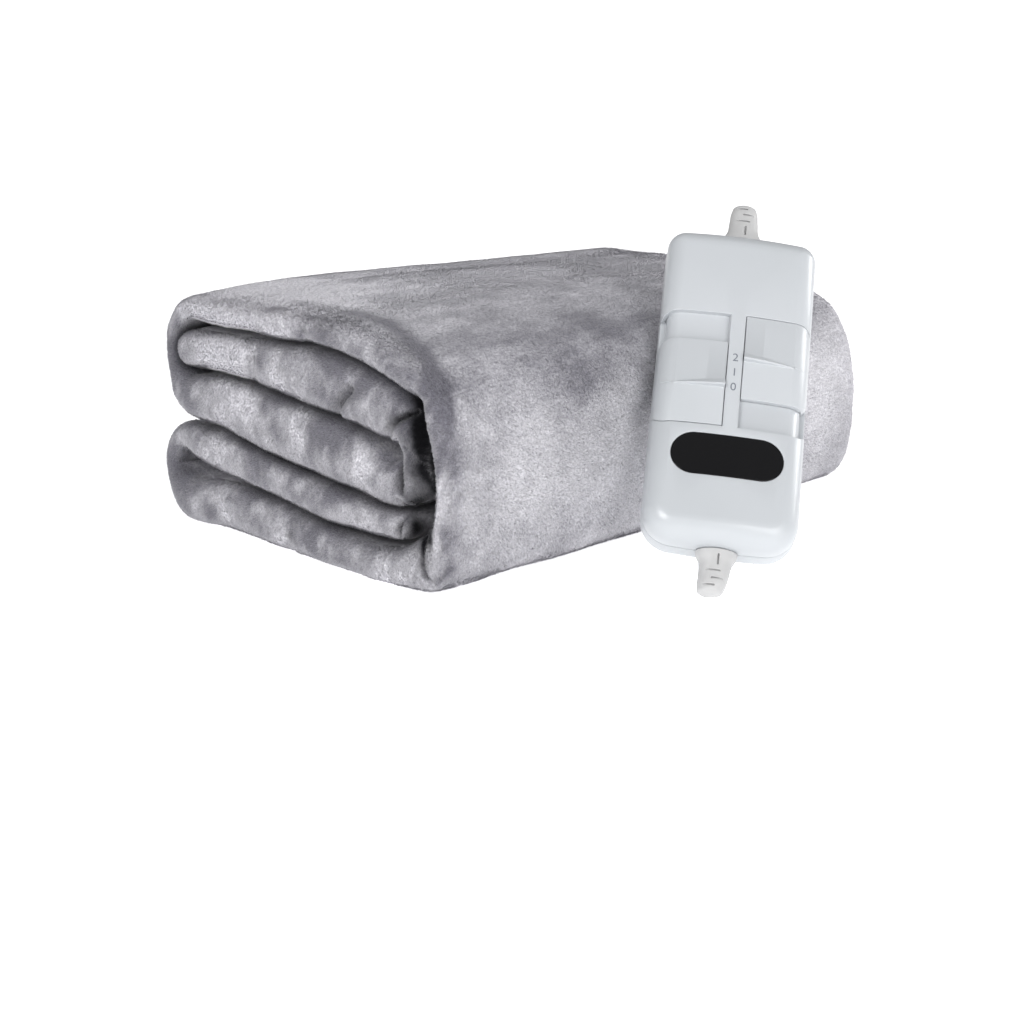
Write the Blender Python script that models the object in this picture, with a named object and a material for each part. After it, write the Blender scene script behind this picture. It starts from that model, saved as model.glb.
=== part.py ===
"""An electric heated blanket, folded into a pack, with its hand controller leaning on the pack.

Metres, +Z up. X runs along the pack, and the end that shows the folds faces -X. The long side that
the outer layer wraps faces -Y, and the controller leans on it. Z = 0 is the surface underneath.
"""

import math
from collections import namedtuple

import bmesh
import bpy
import numpy as np
from mathutils import Euler, Vector

MM = 0.001
GAP = 0.3 * MM
CUT_BEYOND = 2 * MM
RECTANGLE = ((-1, -1), (1, -1), (1, 1), (-1, 1))
SHARP_ANGLE = math.radians(35)

# Blanket: a strip of four plies, folded back and forth across the pack and wrapped once round it.
PACK_LENGTH = 300 * MM
STRIP_SAMPLES = 1200
STRIP_STATIONS = 96
STATION_RUN = 27 * MM
STATION_TURN = math.radians(17)
END_ROUND = 10 * MM
END_FULLNESS = 2.3
END_NOSE = 0.22
FREE_EDGE_STEPS = 3

# The strip's path across the pack, in mm at the end that shows: the middle of the strip, its
# thickness, and how far its fold stands in from the pack's end plane, at the -X and the +X end.
Fold = namedtuple("Fold", "place y z thick in_near in_far")
FOLDS = (
    Fold("inner free edge", 76.5, 86, 18, 2.5, 5.5),
    Fold("second band, back", 41, 88.5, 20.5, 1, 2.5),
    Fold("second band, middle", 0, 88.3, 26, 0.5, 2),
    Fold("second band, front", -38, 86, 29.5, 1, 2.5),
    Fold("inner turn, top", -64.5, 80, 26.5, 2.5, 3.5),
    Fold("inner turn, upper side", -76.5, 75, 23.5, 4, 4),
    Fold("inner turn, side", -81.5, 63, 21, 5, 4.5),
    Fold("inner turn, lower side", -76.5, 51.5, 20.5, 5, 4.5),
    Fold("inner turn, foot", -65.5, 46.8, 20.5, 5, 4.5),
    Fold("third band, front", -38, 53.5, 28, 2, 2.5),
    Fold("third band, middle", 4, 58.5, 29.5, 1.5, 1),
    Fold("third band, back", 50, 64, 26, 1, 2.5),
    Fold("upper back turn, foot", 83.5, 65, 18, 3.5, 4.5),
    Fold("upper back turn, side", 95, 84.5, 12, 8.5, 5.5),
    Fold("upper back turn, top", 83.5, 102.5, 12.5, 5.5, 3.5),
    Fold("top band, back", 52, 106.5, 12.5, 1.5, 2),
    Fold("top band, middle", 0, 108.5, 12, 0.5, 1),
    Fold("top band, front", -44, 108, 12.5, 0.5, 2),
    Fold("wrap, shoulder", -89.5, 91.5, 12, 2, 2.5),
    Fold("wrap, side", -100.5, 60.5, 13.5, 4, 3.5),
    Fold("wrap, low side", -99.5, 34.5, 15.5, 3.5, 3.5),
    Fold("wrap, heel", -90.5, 17, 24.5, 3, 2.5),
    Fold("bottom band, front", -68, 8, 18, 4, 2),
    Fold("bottom band, middle", -12, 8.7, 19.4, 3, 0),
    Fold("bottom band, back", 47, 11.8, 23.2, 3, 2),
    Fold("lower back turn, foot", 87.5, 11.7, 18.4, 3.5, 3.5),
    Fold("lower back turn, side", 99, 24.5, 11, 7.5, 5.5),
    Fold("lower back turn, top", 88.5, 39, 13, 5.5, 4.5),
    Fold("fourth band, back", 65, 39, 18.5, 2.5, 3.5),
    Fold("fourth band, middle", 17.5, 34.5, 19, 2.5, 2.5),
    Fold("fourth band, front", -27, 28.7, 17.5, 3.5, 3.5),
    Fold("outer free edge", -68, 28, 13, 4.5, 5.5),
)

# How the pack changes along its length: part of the length from -X, its height and width as parts
# of those in FOLDS, and how far it sways to +Y, in mm.
Span = namedtuple("Span", "along height width sway")
SPANS = (
    Span(0.00, 1.005, 1.055, 1.5),
    Span(0.22, 1.020, 1.040, -0.3),
    Span(0.50, 0.995, 1.012, -0.5),
    Span(0.78, 0.955, 0.988, -0.3),
    Span(1.00, 0.930, 0.962, -0.4),
)
SECTION_STEPS = 9
END_STEPS = (0.0, 0.1, 0.32, 0.66, 1.0)

# Controller: a moulded case in two halves. X is its width, Y its depth from front (-) to back (+)
# and Z its length, from the middle of its parting plane.
CASE_LENGTH = 165 * MM
CASE_WIDTH = 71 * MM
CASE_BOW = 1.6 * MM
FRONT_SIDE = 4 * MM
FRONT_ROUND = 8.5 * MM
FRONT_CROWN = 2.4 * MM
BACK_SIDE = 6 * MM
BACK_ROUND = 6 * MM
CORNER_STEPS = 5
ROUND_STEPS = 5
SMALLEST_CORNER = 0.4 * MM
CROWN_INSETS = (14 * MM, 20 * MM, 26 * MM, 32 * MM)
# Corners of the case seen from the front, anticlockwise: side in X, side in Z, radius in mm.
Corner = namedtuple("Corner", "side_x side_z radius")
CORNERS = (Corner(1, 1, 8), Corner(-1, 1, 8), Corner(-1, -1, 14), Corner(1, -1, 14))

SLIDER_LENGTH = 44 * MM
SLIDER_TRAVEL = 15 * MM
SLIDER_THICK = 2.5 * MM
SLIDER_CLEARANCE = 0.35 * MM
SLIDER_LOW_END = -25 * MM
SLIDER_EDGE = 3 * MM
CENTRE_BAR = 7 * MM
GRIP_LENGTH = 23 * MM
GRIP_WIDTH = 5 * MM
GRIP_HEIGHT = 3 * MM

WINDOW_LENGTH = 51.5 * MM
WINDOW_WIDTH = 21 * MM
WINDOW_THICK = 1.5 * MM
WINDOW_SINK = 0.1 * MM
WINDOW_HEIGHT = -40.5 * MM

# Strain relief: distance from the case, half width and half depth, in mm.
Ring = namedtuple("Ring", "out half_width half_depth")
RELIEF_RINGS = (
    Ring(0.0, 9.6, 6.0),
    Ring(2.5, 9.2, 5.9),
    Ring(5.0, 7.9, 5.7),
    Ring(12.0, 6.9, 5.3),
    Ring(18.0, 6.1, 4.9),
    Ring(20.2, 5.1, 4.0),
    Ring(21.2, 3.2, 2.4),
)
RELIEF_SIDES = 20
RELIEF_LEAN = 2 * MM
SLOT_DEPTH = 1.4 * MM
# Slots in each broad face of a strain relief, in mm: middle out from the case, middle across,
# length along the relief, length across it.
Slot = namedtuple("Slot", "out across along wide")
SLOTS = (
    Slot(5.0, 0.6, 5.5, 0.9),
    Slot(10.5, -0.8, 0.9, 6.6),
    Slot(14.2, 1.6, 0.9, 5.6),
    Slot(17.6, -1.4, 0.9, 5.2),
)

# The controller's place: its foot on the surface, its back edge on the pack's shoulder.
CASE_LEAN = math.radians(42)
CASE_TURN = math.radians(-40)
CASE_ROLL = math.radians(9)
CASE_PLACE = (4 * MM, -138.6 * MM, 77.3 * MM)


# ---------------------------------------------------------------------------------------------
# Helpers
# ---------------------------------------------------------------------------------------------


def smooth_through(knots, values, at):
    """A smooth curve through the rows of values, at the given places along the knots."""
    knots = np.asarray(knots, float)
    values = np.asarray(values, float)
    slopes = np.gradient(values, knots, axis=0)
    index = np.clip(np.searchsorted(knots, at, side="right") - 1, 0, len(knots) - 2)
    step = (knots[index + 1] - knots[index])[:, None]
    t = ((at - knots[index]) / step[:, 0])[:, None]
    start, end = values[index], values[index + 1]
    return (
        (2 * t**3 - 3 * t**2 + 1) * start
        + (t**3 - 2 * t**2 + t) * step * slopes[index]
        + (3 * t**2 - 2 * t**3) * end
        + (t**3 - t**2) * step * slopes[index + 1]
    )


def plain_material(name, colour, roughness):
    material = bpy.data.materials.new(name)
    material.use_nodes = True
    shader = material.node_tree.nodes["Principled BSDF"]
    shader.inputs["Base Color"].default_value = (*colour, 1)
    shader.inputs["Roughness"].default_value = roughness
    shader.inputs["Metallic"].default_value = 0
    return material


def add_object(name, points, faces, material=None, parent=None):
    """A mesh object with its faces turned outwards."""
    mesh = bpy.data.meshes.new(name)
    mesh.from_pydata([tuple(p) for p in points], [], [tuple(f) for f in faces])
    tidy = bmesh.new()
    tidy.from_mesh(mesh)
    bmesh.ops.recalc_face_normals(tidy, faces=tidy.faces)
    tidy.to_mesh(mesh)
    tidy.free()
    piece = bpy.data.objects.new(name, mesh)
    bpy.context.scene.collection.objects.link(piece)
    piece.parent = parent
    if material:
        mesh.materials.append(material)
        mesh.shade_smooth()
        mesh.set_sharp_from_angle(angle=SHARP_ANGLE)
    else:
        piece.hide_render = True
        piece.display_type = "WIRE"
    return piece


def combine(piece, other, operation):
    boolean = piece.modifiers.new(operation.lower(), "BOOLEAN")
    boolean.operation = operation
    boolean.object = other
    boolean.solver = "EXACT"


def loft(loops):
    """Points and faces of a closed solid through loops of equally many points."""
    count = len(loops[0])
    points = [point for loop in loops for point in loop]
    ends = [tuple(range(count)), tuple(range(len(points) - count, len(points)))]
    return points, ends + walls(count, len(loops))


def walls(count, rows):
    """The faces that join each loop of count points to the next."""
    faces = []
    for start in range(0, (rows - 1) * count, count):
        for i in range(count):
            j = (i + 1) % count
            faces.append((start + i, start + j, start + count + j, start + count + i))
    return faces


def prism_along_length(section, low, high):
    """A section given as (x, y), drawn out along Z."""
    return loft([[(x, y, z) for x, y in section] for z in (low, high)])


def prism_through_depth(outline, front, back):
    """An outline given as (x, z), drawn out along Y."""
    return loft([[(x, y, z) for x, z in outline] for y in (front, back)])


# ---------------------------------------------------------------------------------------------
# Folded blanket
# ---------------------------------------------------------------------------------------------


def strip_stations():
    """Stations along the strip's middle line, closer in the turns: y, z, thickness and end insets."""
    rows = np.array([fold[1:] for fold in FOLDS]) * MM
    chords = np.concatenate([[0], np.cumsum(np.hypot(*np.diff(rows[:, :2], axis=0).T))])
    fine = smooth_through(chords, rows, np.linspace(0, chords[-1], STRIP_SAMPLES))
    steps = np.diff(fine[:, :2], axis=0)
    heading = np.unwrap(np.arctan2(steps[:, 1], steps[:, 0]))
    turning = np.abs(np.diff(heading, prepend=heading[0]))
    need = np.hypot(*steps.T) / STATION_RUN + turning / STATION_TURN
    count = np.concatenate([[0], np.cumsum(need)])
    even = np.linspace(0, count[-1], STRIP_STATIONS)
    return np.column_stack([np.interp(even, count, column) for column in fine.T])


def strip_ring(stations, fullness):
    """The strip's outline in the section plane, one side out and the other side back."""
    middle = stations[:, :2]
    along = np.gradient(middle, axis=0)
    along /= np.linalg.norm(along, axis=1)[:, None]
    across = np.column_stack([-along[:, 1], along[:, 0]])
    half = stations[:, 2:3] * fullness / 2
    ring = [*(middle + across * half)]
    turns = [math.pi * k / (FREE_EDGE_STEPS + 1) for k in range(1, FREE_EDGE_STEPS + 1)]
    for turn in turns:
        outward = across[-1] * math.cos(turn) + along[-1] * math.sin(turn)
        ring.append(middle[-1] + outward * half[-1])
    ring.extend((middle - across * half)[::-1])
    for turn in turns:
        outward = across[0] * math.cos(turn) + along[0] * math.sin(turn)
        ring.append(middle[0] - outward * half[0])
    return np.array(ring)


def ring_insets(insets):
    """A value for each station, spread over the points of the ring."""
    last, first = np.full(FREE_EDGE_STEPS, insets[-1]), np.full(FREE_EDGE_STEPS, insets[0])
    return np.concatenate([insets, last, insets[::-1], first])


def blanket_sections():
    """Rings of points along the pack, rounded to a fold at each end."""
    stations = strip_stations()
    near, far = ring_insets(stations[:, 3]), ring_insets(stations[:, 4])
    places = [(0.0, step) for step in END_STEPS]
    places += [((k + 1) / (SECTION_STEPS + 1), 1.0) for k in range(SECTION_STEPS)]
    places += [(1.0, step) for step in reversed(END_STEPS)]
    spans = np.array(SPANS)
    sections = []
    for along, end_step in places:
        swell = (1 - (1 - end_step) ** END_FULLNESS) ** (1 / END_FULLNESS)
        ring = strip_ring(stations, END_NOSE + (1 - END_NOSE) * swell)
        x_near = -PACK_LENGTH / 2 + near + END_ROUND * (end_step if along == 0 else 1)
        x_far = PACK_LENGTH / 2 - far - END_ROUND * (end_step if along == 1 else 1)
        x = x_near * (1 - along) + x_far * along
        part = x / PACK_LENGTH + 0.5
        height, width, sway = smooth_through(spans[:, 0], spans[:, 1:], part).T
        y = ring[:, 0] * width + sway * MM
        z = np.maximum(ring[:, 1] * height, 0)
        sections.append(np.column_stack([x, y, z]))
    return sections


def build_blanket():
    sections = blanket_sections()
    count = len(sections[0])
    points = np.concatenate(sections)
    faces = walls(count, len(sections))
    # Each end is closed by a row of faces across the strip, and by one face at each free edge.
    side = STRIP_STATIONS
    last = 2 * side + FREE_EDGE_STEPS - 1
    for base in (0, (len(sections) - 1) * count):
        for k in range(side - 1):
            faces.append((base + k, base + k + 1, base + last - k - 1, base + last - k))
        faces.append([base + side - 1 + k for k in range(FREE_EDGE_STEPS + 2)])
        faces.append([base + (last + k) % count for k in range(FREE_EDGE_STEPS + 2)])
    plush = plain_material("grey_plush", (0.36, 0.35, 0.39), 0.95)
    return add_object("folded_blanket", points, faces, plush)


# ---------------------------------------------------------------------------------------------
# Controller
# ---------------------------------------------------------------------------------------------


def case_outline(inset):
    """The case seen from the front, as (x, z): a rounded rectangle with slightly bowed ends."""
    half_width, half_length = CASE_WIDTH / 2 - inset, CASE_LENGTH / 2 - inset
    bow = CASE_BOW / (CASE_WIDTH / 2) ** 2
    outline = []
    for turn, corner in enumerate(CORNERS):
        radius = max(corner.radius * MM - inset, SMALLEST_CORNER)
        middle_x = corner.side_x * (half_width - radius)
        middle_z = corner.side_z * (half_length - radius)
        points = []
        for k in range(CORNER_STEPS):
            angle = math.pi / 2 * (turn + k / (CORNER_STEPS - 1))
            points.append((middle_x + radius * math.cos(angle), middle_z + radius * math.sin(angle)))
        # Turns 0 and 2 end at the case's top and foot, which go on to the next corner.
        if turn % 2 == 0:
            points += [(middle_x * part, corner.side_z * half_length) for part in (0.5, 0, -0.5)]
        outline += [(x, z - corner.side_z * bow * x * x) for x, z in points]
    return outline


def crown(x):
    return FRONT_CROWN * (1 - (x / (CASE_WIDTH / 2)) ** 2)


def case_half(front):
    """Loops from the parting plane to the middle of the front or the back face."""
    side, radius, sign = (FRONT_SIDE, FRONT_ROUND, -1) if front else (BACK_SIDE, BACK_ROUND, 1)
    rows = [(0, 0 if front else GAP), (0, side)]
    for k in range(1, ROUND_STEPS + 1):
        angle = math.pi / 2 * k / ROUND_STEPS
        rows.append((radius * (1 - math.cos(angle)), side + radius * math.sin(angle)))
    flat = side + radius
    if front:
        rows += [(inset, flat) for inset in CROWN_INSETS]
    loops = []
    for inset, depth in rows:
        raised = min(1, inset / radius) if front else 0
        loops.append([(x, sign * (depth + crown(x) * raised), z) for x, z in case_outline(inset)])
    return loops


def front_section(offset, steps=8):
    """The front surface from the -X side to the middle, as (x, y), moved inwards by offset."""
    radius = FRONT_ROUND - offset
    half_width = CASE_WIDTH / 2 - offset
    flat = FRONT_SIDE + FRONT_ROUND - offset
    section = []
    for k in range(steps + 1):
        angle = math.pi / 2 * k / steps
        inset = radius * (1 - math.cos(angle))
        x = -half_width + inset
        depth = FRONT_SIDE + radius * math.sin(angle) + crown(x) * min(1, inset / radius)
        section.append((x, -depth))
    for part in (0.25, 0.5, 0.75, 1.0):
        x = (-half_width + radius) * (1 - part)
        section.append((x, -flat - crown(x)))
    return section


def stadium(length, width, middle_z, steps=8):
    """An outline with round ends, as (x, z)."""
    radius = width / 2
    outline = []
    for side in (1, -1):
        for k in range(steps + 1):
            angle = math.pi * (0.5 - k / steps - (side < 0))
            x = side * (length / 2 - radius) + radius * math.cos(angle)
            outline.append((x, middle_z + radius * math.sin(angle)))
    return outline


def across_case(section):
    """A section of the -X half, continued by its mirror image on the +X half."""
    return section + [(-x, y) for x, y in reversed(section[:-1])]


def plate_section(side, outer, inner, edge, bar):
    """A section between two depths under the front surface, from the case's side to the bar."""
    upper = [p for p in front_section(outer) if p[0] < -bar]
    lower = [p for p in front_section(inner) if p[0] < -bar]
    last_upper = -FRONT_SIDE - FRONT_ROUND + outer - crown(bar)
    last_lower = -FRONT_SIDE - FRONT_ROUND + inner - crown(bar)
    section = [(upper[0][0], -edge)] + upper + [(-bar, last_upper), (-bar, last_lower)]
    section += lower[::-1] + [(lower[0][0], -edge)]
    return [(side * -x, y) for x, y in section]


def build_slider(name, side, low_end, material, parent):
    """A plate that follows the case's front and side, with a tapering grip across it."""
    section = plate_section(side, 0, SLIDER_THICK, SLIDER_EDGE, CENTRE_BAR / 2 + SLIDER_CLEARANCE)
    points, faces = prism_along_length(section, low_end, low_end + SLIDER_LENGTH)
    plate = add_object(name, points, faces, material, parent)
    middle = low_end + SLIDER_LENGTH / 2
    inner = CENTRE_BAR / 2 + SLIDER_CLEARANCE
    outer = inner + GRIP_LENGTH
    loops = []
    for x, rise, half in ((inner, GRIP_HEIGHT, GRIP_WIDTH / 2), (outer, 0, GRIP_WIDTH / 8)):
        top = FRONT_SIDE + FRONT_ROUND + crown(x) + rise
        root = top - rise - SLIDER_THICK / 2
        profile = ((-half, root), (-half, root + 1 * MM), (-half * 0.2, top), (half * 0.3, top))
        profile += ((half, root + 1 * MM), (half, root))
        loops.append([(side * x, -depth, middle + z) for z, depth in profile])
    points, faces = loft(loops)
    grip = add_object(name + "_grip_shape", points, faces, parent=parent)
    combine(plate, grip, "UNION")
    return plate


def build_front(material, parent):
    front = add_object("controller_front", *loft(case_half(True)), material, parent)
    depth = SLIDER_THICK + GAP
    for side, label in ((-1, "left"), (1, "right")):
        section = plate_section(side, -CUT_BEYOND, depth, SLIDER_EDGE - SLIDER_CLEARANCE, CENTRE_BAR / 2)
        low = SLIDER_LOW_END - SLIDER_CLEARANCE
        high = SLIDER_LOW_END + SLIDER_LENGTH + SLIDER_TRAVEL + SLIDER_CLEARANCE
        points, faces = prism_along_length(section, low, high)
        bay = add_object(f"{label}_slider_bay_shape", points, faces, parent=parent)
        combine(front, bay, "DIFFERENCE")
    seat_depth = WINDOW_SINK + WINDOW_THICK + GAP
    seat = window_solid("window_seat_shape", -CUT_BEYOND, seat_depth, GAP, parent)
    combine(front, seat, "DIFFERENCE")


def window_solid(name, outer, inner, margin, parent, material=None):
    """The part of the front between two depths that lies inside the window's outline."""
    upper = across_case(front_section(outer))
    lower = across_case(front_section(inner))
    points, faces = prism_along_length(upper + lower[::-1], -CASE_LENGTH / 2, 0)
    skin = add_object(name, points, faces, material, parent)
    outline = stadium(WINDOW_LENGTH + 2 * margin, WINDOW_WIDTH + 2 * margin, WINDOW_HEIGHT)
    points, faces = prism_through_depth(outline, -CASE_WIDTH, 0)
    combine(skin, add_object(name + "_outline_shape", points, faces, parent=parent), "INTERSECT")
    return skin


def build_relief(name, end, material, parent):
    """A tapered sleeve of soft plastic at one end of the case, with slots that let it bend."""
    lean = RELIEF_LEAN if end < 0 else 0
    reach = RELIEF_RINGS[-1].out
    loops = []
    for ring in RELIEF_RINGS:
        z = end * (CASE_LENGTH / 2 + GAP + ring.out * MM)
        loops.append([])
        for k in range(RELIEF_SIDES):
            angle = math.tau * k / RELIEF_SIDES
            x = ring.half_width * MM * math.cos(angle) - lean * (ring.out / reach) ** 2
            loops[-1].append((x, ring.half_depth * MM * math.sin(angle), z))
    relief = add_object(name, *loft(loops), material, parent)
    points, faces = [], []
    for face_side in (-1, 1):
        for slot in SLOTS:
            depths = [ring.half_depth for ring in RELIEF_RINGS]
            surface = np.interp(slot.out, [ring.out for ring in RELIEF_RINGS], depths) * MM
            x = slot.across * MM - lean * (slot.out / reach) ** 2
            z = end * (CASE_LENGTH / 2 + GAP + slot.out * MM)
            half_x, half_z = slot.wide * MM / 2, slot.along * MM / 2
            corners = [(x + half_x * a, z + half_z * b) for a, b in RECTANGLE]
            floor, mouth = face_side * (surface - SLOT_DEPTH), face_side * (surface + CUT_BEYOND)
            box_points, box_faces = prism_through_depth(corners, floor, mouth)
            faces += [tuple(i + len(points) for i in face) for face in box_faces]
            points += box_points
    combine(relief, add_object(name + "_slot_shapes", points, faces, parent=parent), "DIFFERENCE")
    return relief


def build_controller():
    place = bpy.data.objects.new("controller_place", None)
    bpy.context.scene.collection.objects.link(place)
    turn = Euler((0, 0, CASE_TURN)).to_matrix() @ Euler((-CASE_LEAN, 0, 0)).to_matrix()
    turn = turn @ Euler((0, CASE_ROLL, 0)).to_matrix()
    place.rotation_euler = turn.to_euler()
    place.location = Vector(CASE_PLACE)

    white = plain_material("white_abs", (0.78, 0.79, 0.80), 0.35)
    soft_white = plain_material("white_soft_pvc", (0.72, 0.72, 0.72), 0.5)
    black = plain_material("black_window", (0.01, 0.01, 0.012), 0.12)
    build_front(white, place)
    add_object("controller_back", *loft(case_half(False)), white, place)
    build_slider("slider_left", -1, SLIDER_LOW_END, white, place)
    build_slider("slider_right", 1, SLIDER_LOW_END + SLIDER_TRAVEL, white, place)
    window_solid("display_window", WINDOW_SINK, WINDOW_SINK + WINDOW_THICK, 0, place, black)
    build_relief("strain_relief_top", 1, soft_white, place)
    foot = build_relief("strain_relief_foot", -1, soft_white, place)
    points, faces = prism_along_length(RECTANGLE, -1, 0)
    combine(foot, add_object("surface_shape", points, faces), "DIFFERENCE")


for old in list(bpy.data.objects):
    bpy.data.objects.remove(old)
build_blanket()
build_controller()
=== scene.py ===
"""A folded electric blanket and its hand controller, dressed for a studio photograph.

Metres, +Z up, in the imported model's own frame. X runs along the pack; the end that shows the folds
faces -X, and the long side that the outer layer wraps, where the controller leans, faces -Y.
"""

import math
from collections import namedtuple

import bmesh
import bpy
import numpy as np
from mathutils import Euler, Matrix, Vector, noise
from mathutils.bvhtree import BVHTree


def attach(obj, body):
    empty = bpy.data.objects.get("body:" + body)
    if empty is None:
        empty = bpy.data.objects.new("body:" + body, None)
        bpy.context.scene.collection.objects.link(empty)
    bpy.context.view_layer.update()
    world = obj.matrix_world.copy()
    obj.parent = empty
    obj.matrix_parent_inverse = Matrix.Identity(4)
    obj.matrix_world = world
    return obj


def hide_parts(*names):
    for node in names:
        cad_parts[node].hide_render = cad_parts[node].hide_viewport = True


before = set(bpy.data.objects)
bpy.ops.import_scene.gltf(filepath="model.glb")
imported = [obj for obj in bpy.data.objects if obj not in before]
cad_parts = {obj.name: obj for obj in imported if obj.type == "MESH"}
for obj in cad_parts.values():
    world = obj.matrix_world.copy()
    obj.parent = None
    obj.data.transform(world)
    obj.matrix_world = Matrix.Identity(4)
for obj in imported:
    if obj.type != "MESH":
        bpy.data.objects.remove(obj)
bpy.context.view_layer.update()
MM = 0.001

# ---------------------------------------------------------------------------------------------
# Studio
# A long lens looks down a little on the pack's open end and its wrapped long side. The floor is
# matt white paper that glows a little, so that it stays plain. Wide soft lights stand in front and
# to the left, and a small one to the right.
# ---------------------------------------------------------------------------------------------

LENS, SENSOR = 79.1, 36
VIEW_AZIMUTH, VIEW_ELEVATION = math.radians(-43.64), math.radians(16.10)
VIEW_DISTANCE = 1.1637
VIEW_TARGET = Vector((-0.0040, 0, -0.0073))


def place_object(name, data):
    """An object with this data, in the scene and at the origin."""
    thing = bpy.data.objects.new(name, data)
    bpy.context.scene.collection.objects.link(thing)
    return thing


camera = place_object("camera", bpy.data.cameras.new("camera"))
camera.data.lens, camera.data.sensor_width = LENS, SENSOR
camera.rotation_euler = (math.pi / 2 - VIEW_ELEVATION, 0, VIEW_AZIMUTH)
camera.location = VIEW_TARGET + camera.rotation_euler.to_matrix() @ Vector((0, 0, VIEW_DISTANCE))
bpy.context.scene.camera = camera


def linear(code):
    """An sRGB hex colour as linear red, green, blue and alpha."""
    parts = [int(code[i : i + 2], 16) / 255 for i in (1, 3, 5)]
    return [v / 12.92 if v <= 0.04045 else ((v + 0.055) / 1.055) ** 2.4 for v in parts] + [1]


def add_node(tree, kind, inputs=None, **settings):
    """A shader node with its settings, and each input given a value or another node's output."""
    node = tree.nodes.new("ShaderNode" + kind)
    for name, value in settings.items():
        setattr(node, name, value)
    for name, value in (inputs or {}).items():
        if isinstance(value, bpy.types.NodeSocket):
            tree.links.new(value, node.inputs[name])
        else:
            node.inputs[name].default_value = value
    return node


def new_material(name, **inputs):
    """A material and its tree, with a plain Principled shader that has these inputs."""
    material = bpy.data.materials.new(name)
    material.use_nodes = True
    shader = material.node_tree.nodes["Principled BSDF"]
    for label, value in inputs.items():
        shader.inputs[label.replace("_", " ")].default_value = value
    return material, material.node_tree, shader


# White paper: quite matt, with a hardly visible unevenness. Its spots are 2.5 mm wide, 400 a metre.
PAPER_GLOW, PAPER_SPOTS = 0.78, 400.0
paper, paper_tree, paper_shader = new_material(
    "matt_white_paper", Roughness=0.9, Emission_Color=linear("#ffffff"), Emission_Strength=PAPER_GLOW
)
fibre = add_node(paper_tree, "TexNoise", {"Scale": PAPER_SPOTS, "Detail": 2.0})
tone = add_node(
    paper_tree,
    "Mix",
    {0: fibre.outputs[0], 6: linear("#ececee"), 7: linear("#f4f4f5")},
    data_type="RGBA",
)
paper_tree.links.new(tone.outputs[2], paper_shader.inputs["Base Color"])

FLOOR_REACH = 14.0
floor_mesh = bpy.data.meshes.new("floor")
floor_corners = [(-1, -1), (1, -1), (1, 1), (-1, 1)]
floor_points = [(x * FLOOR_REACH, y * FLOOR_REACH, 0) for x, y in floor_corners]
floor_mesh.from_pydata(floor_points, [], [(0, 1, 2, 3)])
floor_mesh.materials.append(paper)
place_object("floor", floor_mesh)

# The sky is bright at the horizon and dim overhead: the heights and the strengths that it runs between.
SKY_LOW, SKY_HIGH, SKY_BRIGHT, SKY_DIM = 0.02, 0.22, 1.05, 0.34
world = bpy.data.worlds.new("studio")
world.use_nodes = True
sky = world.node_tree
sky_way = add_node(sky, "TexCoord")
sky_height = add_node(sky, "SeparateXYZ", {0: sky_way.outputs["Generated"]})
sky_run = {0: sky_height.outputs["Z"], 1: SKY_LOW, 2: SKY_HIGH, 3: SKY_BRIGHT, 4: SKY_DIM}
sky_light = add_node(sky, "MapRange", sky_run)
sky.links.new(sky_light.outputs[0], sky.nodes["Background"].inputs["Strength"])
sky.nodes["Background"].inputs["Color"].default_value = linear("#fdfdfe")
bpy.context.scene.world = world
bpy.context.scene.view_settings.view_transform = "Standard"

# Soft lights: place, size and power. Each points at the middle of the pack.
Lamp = namedtuple("Lamp", "name place size power")
LAMPS = (
    Lamp("key_front", (-0.45, -2.0, 0.95), 1.4, 23),
    Lamp("fill_left", (-1.8, -0.4, 1.3), 0.9, 23),
    Lamp("far_right", (1.5, -0.7, 0.6), 0.6, 7),
)
LAMPS_AIM = Vector((0, -0.03, 0.06))
for lamp in LAMPS:
    data = bpy.data.lights.new(lamp.name, "AREA")
    data.shape, data.size, data.energy = "DISK", lamp.size, lamp.power
    light = place_object(lamp.name, data)
    light.location = lamp.place
    light.rotation_euler = (LAMPS_AIM - light.location).to_track_quat("-Z", "Y").to_euler()


# ---------------------------------------------------------------------------------------------
# Folded blanket
# Two faces of plush flannel quilted round the heating wire, folded to a strip of four plies and then
# back and forth in five bands. The outer ones run over the top, down the long side and underneath.
# The strip's folded edges show at the pack's ends as soft rolls.
# ---------------------------------------------------------------------------------------------

PACK_LENGTH = 300 * MM
END_ROUND, END_FULLNESS, END_NOSE = 10 * MM, 2.45, 0.03
STRIP_SAMPLES, STRIP_STATIONS, FREE_EDGE_STEPS = 4000, 730, 14
# Along the strip this many mm, or a turn this wide, count the same.
STATION_RUN, STATION_TURN = 27, math.radians(24)
LENGTH_STEPS, NEAR_END_STEPS, FAR_END_STEPS, NEAR_CROWDING = 40, 16, 7, 1.5

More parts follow.
